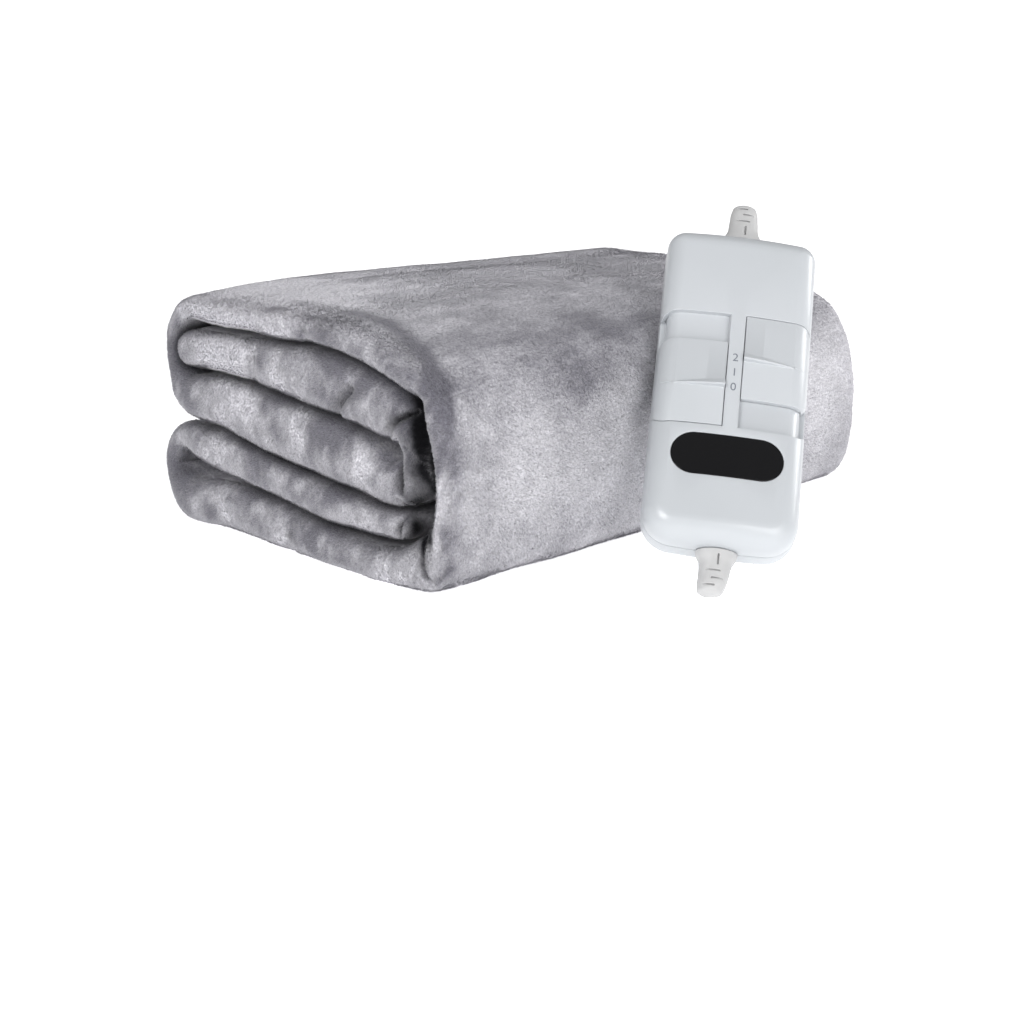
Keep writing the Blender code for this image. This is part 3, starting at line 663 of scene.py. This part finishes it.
def tufts_on(region_index, region):
    """Corners, normals, shade and free space of single-faced tufts over one region. The shade holds the
    patches' painted light and shade, and the free space sets the painted shade in the gaps.
    """
    total = region.tufts
    chosen = np.flatnonzero(open_cloth & (where == region_index))
    chances = quad_area[chosen] / quad_area[chosen].sum()
    picks = quads[chosen[dice.choice(len(chosen), total, p=chances)]]
    u, v = dice.random((2, total))
    parts = np.stack([(1 - u) * (1 - v), u * (1 - v), u * v, (1 - u) * v], axis=1)
    roots = np.einsum("tk,tkc->tc", parts, cloth_points[picks])
    up = np.einsum("tk,tkc->tc", parts, cloth_normals[picks])
    # The nap with its painted light and shade, and how far the painted gap shade leaves each tuft free.
    tuft_nap_and_shade = np.einsum("tk,tk->t", parts, nap_and_shade[picks])
    free = 1 - np.einsum("tk,tk->t", parts, gap_shade[picks])
    up /= np.linalg.norm(up, axis=1)[:, None]
    fall = FALL_UPRIGHT * (1 - up[:, 2:3] ** 2) + FALL_LEVEL * up[:, 2:3] ** 2
    lay = fall - up * np.sum(up * fall, axis=1)[:, None]
    lay /= np.linalg.norm(lay, axis=1)[:, None]
    from_end = np.clip((half_length - np.abs(roots[:, 0])) / ENDS_REACH - ENDS_HOLD, 0, 1)
    shares = np.stack([from_end * np.clip(up[:, 2], 0, 1) ** 2, from_end * np.clip(-up[:, 1], 0, 1) ** 2])
    shares = np.concatenate([[1 - shares.sum(axis=0)], shares])
    grain = np.array(GRAINS) @ shares
    turn = tuft_nap_and_shade * CRUSH_TURN + dice.normal(0, TURN_DIFFERS, total)
    way = lay * np.cos(turn)[:, None] + np.cross(up, lay) * np.sin(turn)[:, None]
    lean = np.array(LEANS) @ shares + dice.normal(0, LEAN_DIFFERS, total)
    reach = TUFT_LENGTH * (SHORTEST + LENGTHS_DIFFER * dice.random(total))
    tips = roots + (up * np.cos(lean)[:, None] + way * np.sin(lean)[:, None]) * reach[:, None]
    twist = dice.normal(0, TWIST_DIFFERS, total)[:, None]
    half = (np.cross(up, way) * np.cos(twist) + way * np.sin(twist)) * TUFT_WIDTH / 2
    base = roots - up * TUFT_SINK
    points = np.stack([base - half, base + half, tips], axis=1)
    points[:, :, 2] = np.maximum(points[:, :, 2], 0)
    soft = up + way * NORMAL_LEAN + dice.normal(0, NORMAL_DIFFERS, (total, 3)) * grain[:, None]
    soft /= np.linalg.norm(soft, axis=1)[:, None]
    flat = np.cross(points[:, 1] - points[:, 0], points[:, 2] - points[:, 0])
    faces_in = np.sum(flat * soft, axis=1) < 0
    points[faces_in] = points[faces_in][:, [1, 0, 2]]
    shade = np.clip(0.5 + 0.5 * tuft_nap_and_shade + dice.normal(0, SHADE_DIFFERS, total) * grain, 0, 1)
    return points, soft, shade, free


# The tufts' polyester is nearly white at its bright, brushed tips; it is painted dim at its roots, as
# the shade among the tufts, and dark in the gaps, as their shade.
pile, tree, shader = new_material(
    "silver_grey_plush_pile",
    Roughness=0.9,
    IOR=1.45,
    Specular_IOR_Level=0.15,
    Sheen_Weight=0.3,
    Sheen_Roughness=0.45,
    Sheen_Tint=linear("#f1f0f5"),
)
tone = add_node(tree, "Attribute", attribute_name="pile_tone_and_shade")
parts = add_node(tree, "SeparateColor", {0: tone.outputs["Color"]})
tones = {0: parts.outputs[0], 6: linear("#8a8990"), 7: linear("#f6f5f8")}
fibre = add_node(tree, "Mix", tones, data_type="RGBA")
# Painted shade at the roots and in the gaps.
tones = {0: parts.outputs[1], 6: linear("#b8b7bb"), 7: linear("#ffffff")}
depth = add_node(tree, "Mix", tones, data_type="RGBA")
tones = {0: parts.outputs[2], 6: linear("#1c1c21"), 7: linear("#ffffff")}
gap = add_node(tree, "Mix", tones, data_type="RGBA")
tones = {0: 1.0, 6: fibre.outputs[2], 7: depth.outputs[2]}
root_shaded = add_node(tree, "Mix", tones, data_type="RGBA", blend_type="MULTIPLY")
tones = {0: 1.0, 6: root_shaded.outputs[2], 7: gap.outputs[2]}
shaded = add_node(tree, "Mix", tones, data_type="RGBA", blend_type="MULTIPLY")
tree.links.new(shaded.outputs[2], shader.inputs["Base Color"])

for index, region in enumerate(REGIONS):
    points, soft, shade, free = tufts_on(index, region)
    mesh = bpy.data.meshes.new(region.name)
    mesh.vertices.add(region.tufts * 3)
    mesh.vertices.foreach_set("co", points.ravel())
    mesh.loops.add(region.tufts * 3)
    mesh.loops.foreach_set("vertex_index", np.arange(region.tufts * 3))
    mesh.polygons.add(region.tufts)
    mesh.polygons.foreach_set("loop_start", np.arange(region.tufts) * 3)
    mesh.update(calc_edges=True)
    # Red is how far the tuft is brushed up, with painted light and shade, green runs from its root to its
    # tip, blue is how free it stands of the painted gap shade.
    colours = np.ones((region.tufts, 3, 4))
    colours[:, :, 0] = shade[:, None]
    colours[:, :, 1] = (0, 0, 1)
    colours[:, :, 2] = free[:, None]
    layer = mesh.attributes.new("pile_tone_and_shade", "FLOAT_COLOR", "POINT")
    layer.data.foreach_set("color", colours.ravel())
    mesh.shade_smooth()
    mesh.normals_split_custom_set_from_vertices(np.repeat(soft, 3, axis=0).tolist())
    mesh.materials.append(pile)
    piece = place_object(region.name, mesh)
    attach(piece, "blanket_and_case")

# ---------------------------------------------------------------------------------------------
# Controller case
# Two injection-moulded ABS halves that meet in a fine line round the side. The front has a bay for
# each slide switch, which runs over the case's rounded side, and a seat for the display window.
# ---------------------------------------------------------------------------------------------

GAP = 0.3 * MM
CASE_LENGTH, CASE_WIDTH, CASE_BOW = 165 * MM, 71 * MM, 1.6 * MM
FRONT_SIDE, FRONT_ROUND, FRONT_CROWN = 4 * MM, 8.5 * MM, 2.4 * MM
BACK_SIDE, BACK_ROUND, LIP_INSET = 6 * MM, 6 * MM, 1.2 * MM
CORNER_STEPS, ROUND_STEPS, FRONT_STEPS, STADIUM_STEPS, SMALLEST_CORNER = 13, 12, 44, 24, 0.4 * MM
CROWN_INSETS = [inset * MM for inset in (11, 14, 17, 20, 23, 26, 29, 32, 34)]
WELD_REACH, MOULDED_EDGE, EDGE_ANGLE, SHARP_ANGLE = 0.02 * MM, 0.35 * MM, math.radians(38), math.radians(45)
Corner = namedtuple("Corner", "side_x side_z radius")
CORNERS = (
    Corner(1, 1, 8 * MM),
    Corner(-1, 1, 8 * MM),
    Corner(-1, -1, 14 * MM),
    Corner(1, -1, 14 * MM),
)
CASE_PLACE = Vector((4 * MM, -138.6 * MM, 77.3 * MM))
CASE_LEAN, CASE_TURN, CASE_ROLL = math.radians(42), math.radians(-40), math.radians(9)
case_turn = (Euler((0, 0, CASE_TURN)).to_matrix() @ Euler((-CASE_LEAN, 0, 0)).to_matrix()).to_4x4()
case_matrix = Matrix.Translation(CASE_PLACE) @ case_turn @ Matrix.Rotation(CASE_ROLL, 4, "Y")

SLIDER_LENGTH, SLIDER_TRAVEL, SLIDER_THICK = 44 * MM, 15 * MM, 2.5 * MM
SLIDER_CLEARANCE, SLIDER_LOW_END, SLIDER_EDGE = 0.35 * MM, -25 * MM, 3 * MM
CENTRE_BAR, BAY_CORNER, BAY_BEYOND, CUT_BEYOND = 7 * MM, 6.5 * MM, 0.6 * MM, 2 * MM
WINDOW_LENGTH, WINDOW_WIDTH, WINDOW_THICK = 51.5 * MM, 21 * MM, 1.5 * MM
WINDOW_SINK, WINDOW_HEIGHT, WINDOW_GAP = 0.1 * MM, -40.5 * MM, 0.15 * MM


def loft(loops):
    """Points and faces of a closed solid through loops of equally many points."""
    ring = len(loops[0])
    points = [point for loop in loops for point in loop]
    faces = [tuple(range(ring)), tuple(range(len(points) - ring, len(points)))]
    for start in range(0, len(points) - ring, ring):
        for i in range(ring):
            j = (i + 1) % ring
            faces.append((start + i, start + j, start + ring + j, start + ring + i))
    return points, faces


def drawn_along_length(section, low, high):
    """A section given as (x, y), drawn out along Z."""
    return loft([[(x, y, z) for x, y in section] for z in (low, high)])


def drawn_through_depth(outline, front, back):
    """An outline given as (x, z), drawn out along Y."""
    return loft([[(x, y, z) for x, z in outline] for y in (front, back)])


def raw_solid(name, solid):
    """A closed solid from points and faces, with its faces turned outwards."""
    points, faces = solid
    return place_object(name, outward_mesh(name, points, faces))


def combine(piece, operation, *others):
    """Cuts the others from the piece, joins them to it or keeps what they share."""
    for other in others:
        boolean = piece.modifiers.new(operation.lower(), "BOOLEAN")
        boolean.operation, boolean.object, boolean.solver = operation, other, "EXACT"
    apply_modifiers(piece)
    for other in others:
        bpy.data.objects.remove(other)
    return piece


def apply_modifiers(piece):
    """Turns the piece's modifiers into its mesh."""
    evaluated = piece.evaluated_get(bpy.context.evaluated_depsgraph_get())
    mesh = bpy.data.meshes.new_from_object(evaluated)
    piece.modifiers.clear()
    piece.data = mesh


def moulded(piece, material, body, slot, edge, *nodes):
    weld = piece.modifiers.new("weld", "WELD")
    weld.merge_threshold = WELD_REACH
    bevel = piece.modifiers.new("moulded_edges", "BEVEL")
    bevel.width, bevel.segments, bevel.limit_method = edge, 3, "ANGLE"
    bevel.angle_limit, bevel.use_clamp_overlap = EDGE_ANGLE, False
    apply_modifiers(piece)
    piece.data.transform(case_matrix)
    piece.data.shade_smooth()
    piece.data.set_sharp_from_angle(angle=SHARP_ANGLE)
    piece.data.materials.clear()
    piece.data.materials.append(material)
    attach(piece, body)
    if nodes:
        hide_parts(*nodes)


def case_outline(inset):
    """The case seen from the front, as (x, z): a rounded rectangle with slightly bowed ends."""
    half_width, half_length = CASE_WIDTH / 2 - inset, CASE_LENGTH / 2 - inset
    bow = CASE_BOW / (CASE_WIDTH / 2) ** 2
    outline = []
    for turn, corner in enumerate(CORNERS):
        radius = max(corner.radius - inset, SMALLEST_CORNER)
        middle_x = corner.side_x * (half_width - radius)
        middle_z = corner.side_z * (half_length - radius)
        angles = [math.pi / 2 * (turn + k / (CORNER_STEPS - 1)) for k in range(CORNER_STEPS)]
        points = [(middle_x + radius * math.cos(a), middle_z + radius * math.sin(a)) for a in angles]
        if turn % 2 == 0:
            # The case's top, or its foot, goes on to the next corner.
            points += [(middle_x * k / 6, corner.side_z * half_length) for k in range(5, -6, -1)]
        outline += [(x, z - corner.side_z * bow * x * x) for x, z in points]
    return outline


def crown(x):
    """How far the front swells out at x."""
    return FRONT_CROWN * (1 - (x / (CASE_WIDTH / 2)) ** 2)


def face_depth(x, offset=0.0):
    """Depth of the front surface at x, from the parting plane, moved inwards by offset."""
    radius = FRONT_ROUND - offset
    inset = max(0.0, CASE_WIDTH / 2 - offset - abs(x))
    turn = math.acos(max(0.0, 1 - min(inset, radius) / radius))
    return FRONT_SIDE + radius * math.sin(turn) + crown(x) * min(1, inset / radius)


def case_half(front):
    """Loops from the parting plane to the middle of the front or the back face."""
    side, radius, sign = (FRONT_SIDE, FRONT_ROUND, -1) if front else (BACK_SIDE, BACK_ROUND, 1)
    rows = [(0, 0)] if front else [(LIP_INSET, WELD_REACH), (LIP_INSET, GAP), (0, GAP)]
    rows.append((0, side))
    turns = [math.pi / 2 * k / ROUND_STEPS for k in range(1, ROUND_STEPS + 1)]
    rows += [(radius * (1 - math.cos(turn)), side + radius * math.sin(turn)) for turn in turns]
    rows += [(inset, side + radius) for inset in CROWN_INSETS] if front else []
    loops = []
    for inset, depth in rows:
        raised = min(1, inset / radius) if front else 0
        loops.append([(x, sign * (depth + crown(x) * raised), z) for x, z in case_outline(inset)])
    return loops


def skin_section(side, outer, inner, edge, bar):
    """A section between two depths under the front surface, from the case's side to the bar."""
    reach = [CASE_WIDTH / 2 * (1 - k / FRONT_STEPS) for k in range(FRONT_STEPS)]
    turns = [FRONT_ROUND * (1 - math.cos(math.pi / 2 * k / ROUND_STEPS)) for k in range(ROUND_STEPS + 1)]
    rows = []
    for offset in (outer, inner):
        limit = CASE_WIDTH / 2 - offset
        xs = [limit - inset * (FRONT_ROUND - offset) / FRONT_ROUND for inset in turns]
        xs += [x for x in reach if bar < x < xs[-1]] + [bar]
        rows.append([(x, -face_depth(x, offset)) for x in xs])
    upper, lower = rows
    outline = [(upper[0][0], -edge)] + upper + lower[::-1] + [(lower[0][0], -edge)]
    return [(side * x, y) for x, y in outline]


def rounded_plan(side, inner, outer, low, high, radius):
    """An outline in the case's plan, as (x, z), with its two outer corners rounded."""
    points = [(inner, high), (inner, low)]
    for turn, middle_z in ((-math.pi / 2, low + radius), (0, high - radius)):
        for k in range(CORNER_STEPS):
            angle = turn + math.pi / 2 * k / (CORNER_STEPS - 1)
            x = outer - radius + radius * math.cos(angle)
            points.append((x, middle_z + radius * math.sin(angle)))
    return [(side * x, z) for x, z in points]


def stadium(length, width, middle_z):
    """An outline with round ends, as (x, z)."""
    radius = width / 2
    turns = [math.pi * k / STADIUM_STEPS for k in range(STADIUM_STEPS + 1)]
    right = [(length / 2 - radius + radius * math.sin(t), middle_z + radius * math.cos(t)) for t in turns]
    return right + [(-x, 2 * middle_z - z) for x, z in right]


# White ABS, injection moulded in a fine spark-eroded mould: satin with a soft broad gloss. The real
# grain of 0.05 mm is drawn at 0.35 mm, so that it shows. Its flow makes it a little uneven.
ABS_FLOW, ABS_GRAIN, ABS_RELIEF, ABS_GLOSSY, ABS_DULL = 14.0, 1400.0, 0.05 * MM, 0.27, 0.38
white_abs, tree, shader = new_material(
    "white_moulded_abs", Roughness=0.32, IOR=1.53, Coat_Weight=0.12, Coat_Roughness=0.12
)
place = add_node(tree, "TexCoord")
flow = add_node(tree, "TexNoise", {"Vector": place.outputs["Object"], "Scale": ABS_FLOW, "Detail": 2.0})
grain = add_node(tree, "TexNoise", {"Vector": place.outputs["Object"], "Scale": ABS_GRAIN, "Detail": 1.0})
tones = {0: flow.outputs[0], 6: linear("#b1b5b8"), 7: linear("#babdc1")}
tint = add_node(tree, "Mix", tones, data_type="RGBA")
gloss = add_node(tree, "MapRange", {0: grain.outputs[0], 3: ABS_GLOSSY, 4: ABS_DULL})
mould = add_node(tree, "Bump", {"Height": grain.outputs[0], "Strength": 0.08, "Distance": ABS_RELIEF})
tree.links.new(tint.outputs[2], shader.inputs["Base Color"])
tree.links.new(gloss.outputs[0], shader.inputs["Roughness"])
tree.links.new(mould.outputs[0], shader.inputs["Normal"])

front = raw_solid("controller_front_cover", loft(case_half(True)))
cuts = []
for side in (-1, 1):
    low = SLIDER_LOW_END - SLIDER_CLEARANCE
    high = SLIDER_LOW_END + SLIDER_LENGTH + SLIDER_TRAVEL + SLIDER_CLEARANCE
    edge = SLIDER_EDGE - SLIDER_CLEARANCE
    section = skin_section(side, -CUT_BEYOND, SLIDER_THICK + GAP, edge, CENTRE_BAR / 2)
    bay = raw_solid("bay_shape", drawn_along_length(section, low, high))
    plan = rounded_plan(side, 0, CASE_WIDTH / 2 + BAY_BEYOND, low, high, BAY_CORNER)
    plan_shape = raw_solid("bay_plan", drawn_through_depth(plan, -CASE_WIDTH, 0))
    cuts.append(combine(bay, "INTERSECT", plan_shape))


def window_skin(name, outer, inner, margin):
    """The part of the front between two depths that lies inside the window's outline."""
    places = [WINDOW_LENGTH * 0.6 * (k / 20 - 1) for k in range(41)]
    skin = [(x, -face_depth(x, outer)) for x in places]
    skin += [(x, -face_depth(x, inner)) for x in reversed(places)]
    solid = raw_solid(name, drawn_along_length(skin, -CASE_LENGTH / 2, 0))
    outline = stadium(WINDOW_LENGTH + 2 * margin, WINDOW_WIDTH + 2 * margin, WINDOW_HEIGHT)
    cutter = raw_solid("window_outline", drawn_through_depth(outline, -CASE_WIDTH, 0))
    return combine(solid, "INTERSECT", cutter)


cuts.append(window_skin("window_seat", -CUT_BEYOND, WINDOW_SINK + WINDOW_THICK + GAP, WINDOW_GAP))
combine(front, "DIFFERENCE", *cuts)
moulded(front, white_abs, "blanket_and_case", "white_abs", MOULDED_EDGE, "controller_front")
back = raw_solid("controller_back_cover", loft(case_half(False)))
moulded(back, white_abs, "blanket_and_case", "white_abs", MOULDED_EDGE, "controller_back")

# ---------------------------------------------------------------------------------------------
# Slide switches
# Two ABS plates that follow the case's front and side, one for each half of the blanket. A fin
# moulded across each gives the thumb its hold: a long slope above, a steep drop below.
# ---------------------------------------------------------------------------------------------

FIN_LENGTH, FIN_HEIGHT, FIN_EDGE, FIN_STEPS = 24 * MM, 3 * MM, 0.25 * MM, 9
# Where the fin's slope begins above its middle, by the bar and at its outer end.
SLOPE_BY_BAR, SLOPE_AT_END, PLATE_BEYOND = 2.8 * MM, -1.9 * MM, 0.3 * MM
Switch = namedtuple("Switch", "name node side low body")
SWITCHES = (
    Switch("left_switch_plate", "slider_left", -1, SLIDER_LOW_END, "left_switch"),
    Switch("right_switch_plate", "slider_right", 1, SLIDER_LOW_END + SLIDER_TRAVEL, "right_switch"),
)
for switch in SWITCHES:
    inner = CENTRE_BAR / 2 + SLIDER_CLEARANCE
    high = switch.low + SLIDER_LENGTH
    section = skin_section(switch.side, 0, SLIDER_THICK, SLIDER_EDGE, inner)
    plate = raw_solid(switch.name, drawn_along_length(section, switch.low, high))
    outer = CASE_WIDTH / 2 + PLATE_BEYOND
    plan = rounded_plan(switch.side, 0, outer, switch.low, high, BAY_CORNER - SLIDER_CLEARANCE)
    combine(plate, "INTERSECT", raw_solid("plate_plan", drawn_through_depth(plan, -CASE_WIDTH, 0)))
    middle = switch.low + SLIDER_LENGTH / 2
    loops = []
    for k in range(FIN_STEPS):
        part = k / (FIN_STEPS - 1)
        x = inner + FIN_LENGTH * part
        surface = face_depth(x)
        rise = FIN_HEIGHT * (1 - part) ** 0.8 + 0.02 * MM
        upper = SLOPE_BY_BAR * (1 - part) ** 0.9 + SLOPE_AT_END * part
        # Down the fin: in the plate, the slope's start, its middle, the ridge, the drop, in it again.
        profile = (
            (upper + 0.3 * MM, surface - SLIDER_THICK / 2),
            (upper + 0.2 * MM, surface - 0.05 * MM),
            (upper * 0.45 - 0.7 * MM, surface + rise * 0.55),
            (-1.5 * MM, surface + rise),
            (-2.1 * MM, surface + rise * 0.8),
            (-2.3 * MM, surface - 0.05 * MM),
            (-2.3 * MM, surface - SLIDER_THICK / 2),
        )
        loops.append([(switch.side * x, -depth, middle + z) for z, depth in profile])
    combine(plate, "UNION", raw_solid("fin_shape", loft(loops)))
    moulded(plate, white_abs, switch.body, "white_abs", FIN_EDGE, switch.node)

# ---------------------------------------------------------------------------------------------
# Display window
# A black polycarbonate lens, moulded with a polished face and glued into the front, flush with it.
# The display behind it is off, so it shows nothing.
# ---------------------------------------------------------------------------------------------

# Polished polycarbonate, tinted nearly black: a sharp gloss with a few faint smudges.
black_lens, tree, shader = new_material(
    "black_polished_polycarbonate",
    Roughness=0.07,
    IOR=1.58,
    Specular_IOR_Level=0.3,
    Base_Color=linear("#0a0a0c"),
)
place = add_node(tree, "TexCoord")
wave = add_node(tree, "TexNoise", {"Vector": place.outputs["Object"], "Scale": 60.0, "Detail": 1.0})
smudge = add_node(tree, "MapRange", {0: wave.outputs[0], 1: 0.35, 2: 0.75, 3: 0.05, 4: 0.16})
tree.links.new(smudge.outputs[0], shader.inputs["Roughness"])
window = window_skin("display_lens", WINDOW_SINK, WINDOW_SINK + WINDOW_THICK, 0)
moulded(window, black_lens, "blanket_and_case", "black_window", 0.2 * MM, "display_window")

# ---------------------------------------------------------------------------------------------
# Numbers on the centre bar
# Marks between the switches, one for each heat, pad-printed in grey ink. They are drawn 0.05 mm
# thick, so that they show.
# ---------------------------------------------------------------------------------------------

# Pad-print ink: thin and matt, a little thinner in places.
grey_ink, tree, shader = new_material("grey_pad_print_ink", Roughness=0.6, IOR=1.5)
place = add_node(tree, "TexCoord")
wear = add_node(tree, "TexNoise", {"Vector": place.outputs["Object"], "Scale": 2500.0, "Detail": 1.0})
tones = {0: wear.outputs[0], 6: linear("#5c6069"), 7: linear("#82868e")}
ink = add_node(tree, "Mix", tones, data_type="RGBA")
tree.links.new(ink.outputs[2], shader.inputs["Base Color"])
# The last is a figure's height as a part of its font's size.
NUMBER_HEIGHT, NUMBER_THICK, FIGURE_PART = 4.2 * MM, 0.05 * MM, 0.72
Number = namedtuple("Number", "mark height")
NUMBERS = (Number("2", 11.0 * MM), Number("1", 3.2 * MM), Number("0", -4.6 * MM))
for number in NUMBERS:
    curve = bpy.data.curves.new("number", "FONT")
    curve.body, curve.align_x, curve.align_y = number.mark, "CENTER", "CENTER"
    curve.size, curve.extrude, curve.resolution_u = NUMBER_HEIGHT / FIGURE_PART, NUMBER_THICK / 2, 6
    text = place_object("number", curve)
    evaluated = text.evaluated_get(bpy.context.evaluated_depsgraph_get())
    mesh = bpy.data.meshes.new_from_object(evaluated)
    bpy.data.objects.remove(text)
    depth = face_depth(0) + NUMBER_THICK / 2
    upright = Matrix.Translation((0, -depth, number.height)) @ Matrix.Rotation(math.pi / 2, 4, "X")
    mesh.transform(case_matrix @ upright)
    mesh.materials.clear()
    mesh.materials.append(grey_ink)
    mark = place_object(f"number_{number.mark}", mesh)
    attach(mark, "blanket_and_case")

# ---------------------------------------------------------------------------------------------
# Strain reliefs
# Soft white PVC sleeves moulded over each end's outlet, tapered and slotted so that they bend. The
# lower one is pressed flat where it stands.
# ---------------------------------------------------------------------------------------------

# Plasticised PVC, moulded: duller than the case, with a faint mottle.
soft_pvc, tree, shader = new_material("soft_white_moulded_pvc", Roughness=0.5, IOR=1.53)
place = add_node(tree, "TexCoord")
mottle = add_node(tree, "TexNoise", {"Vector": place.outputs["Object"], "Scale": 180.0, "Detail": 3.0})
tones = {0: mottle.outputs[0], 6: linear("#aeaeae"), 7: linear("#bababa")}
tint = add_node(tree, "Mix", tones, data_type="RGBA")
skin = add_node(tree, "Bump", {"Height": mottle.outputs[0], "Strength": 0.15, "Distance": 0.1 * MM})
tree.links.new(tint.outputs[2], shader.inputs["Base Color"])
tree.links.new(skin.outputs[0], shader.inputs["Normal"])

# Distance from the case, half width and half depth, in mm.
Ring = namedtuple("Ring", "out half_width half_depth")
RELIEF_RINGS = (
    Ring(0.0, 9.6, 6.0),
    Ring(2.5, 9.2, 5.9),
    Ring(5.0, 7.9, 5.7),
    Ring(12.0, 6.9, 5.3),
    Ring(18.0, 6.1, 4.9),
    Ring(20.2, 5.1, 4.0),
    Ring(21.2, 3.2, 2.4),
)
RELIEF_SIDES, RELIEF_ROWS, RELIEF_LEAN, SLOT_DEPTH = 48, 36, 2 * MM, 1.4 * MM
# Slots in each broad face, in mm: middle out from the case, middle across, length along and across.
Slot = namedtuple("Slot", "out across along wide")
SLOTS = (
    Slot(5.0, 0.6, 5.5, 0.9),
    Slot(10.5, -0.8, 0.9, 6.6),
    Slot(14.2, 1.6, 0.9, 5.6),
    Slot(17.6, -1.4, 0.9, 5.2),
)
ring_table = np.array(RELIEF_RINGS)
outs = np.linspace(0, ring_table[-1, 0], RELIEF_ROWS)
profile = smooth_through(ring_table[:, 0], ring_table[:, 1:], outs) * MM
for name, node, end in (("sleeve_top", "strain_relief_top", 1), ("sleeve_foot", "strain_relief_foot", -1)):
    lean = RELIEF_LEAN if end < 0 else 0
    loops = []
    for out, (half_width, half_depth) in zip(outs, profile):
        z = end * (CASE_LENGTH / 2 + GAP + out * MM)
        shift = lean * (out / outs[-1]) ** 2
        turns = [math.tau * k / RELIEF_SIDES for k in range(RELIEF_SIDES)]
        loops.append([(half_width * math.cos(t) - shift, half_depth * math.sin(t), z) for t in turns])
    sleeve = raw_solid(name, loft(loops))
    slots = []
    for face_side in (-1, 1):
        for slot in SLOTS:
            surface = np.interp(slot.out, ring_table[:, 0], ring_table[:, 2]) * MM
            x = slot.across * MM - lean * (slot.out / outs[-1]) ** 2
            z = end * (CASE_LENGTH / 2 + GAP + slot.out * MM)
            short, long = sorted((slot.wide * MM, slot.along * MM))
            outline = stadium(long, short, 0)
            if slot.along > slot.wide:
                outline = [(pz, px) for px, pz in outline]
            outline = [(x + px, z + pz) for px, pz in outline]
            floor_depth, mouth = face_side * (surface - SLOT_DEPTH), face_side * (surface + CUT_BEYOND)
            slots.append(raw_solid("slot_shape", drawn_through_depth(outline, floor_depth, mouth)))
    combine(sleeve, "DIFFERENCE", *slots)
    moulded(sleeve, soft_pvc, "blanket_and_case", "white_soft_pvc", 0.15 * MM, node)
    if end < 0:
        for vertex in sleeve.data.vertices:
            vertex.co.z = max(vertex.co.z, 0)
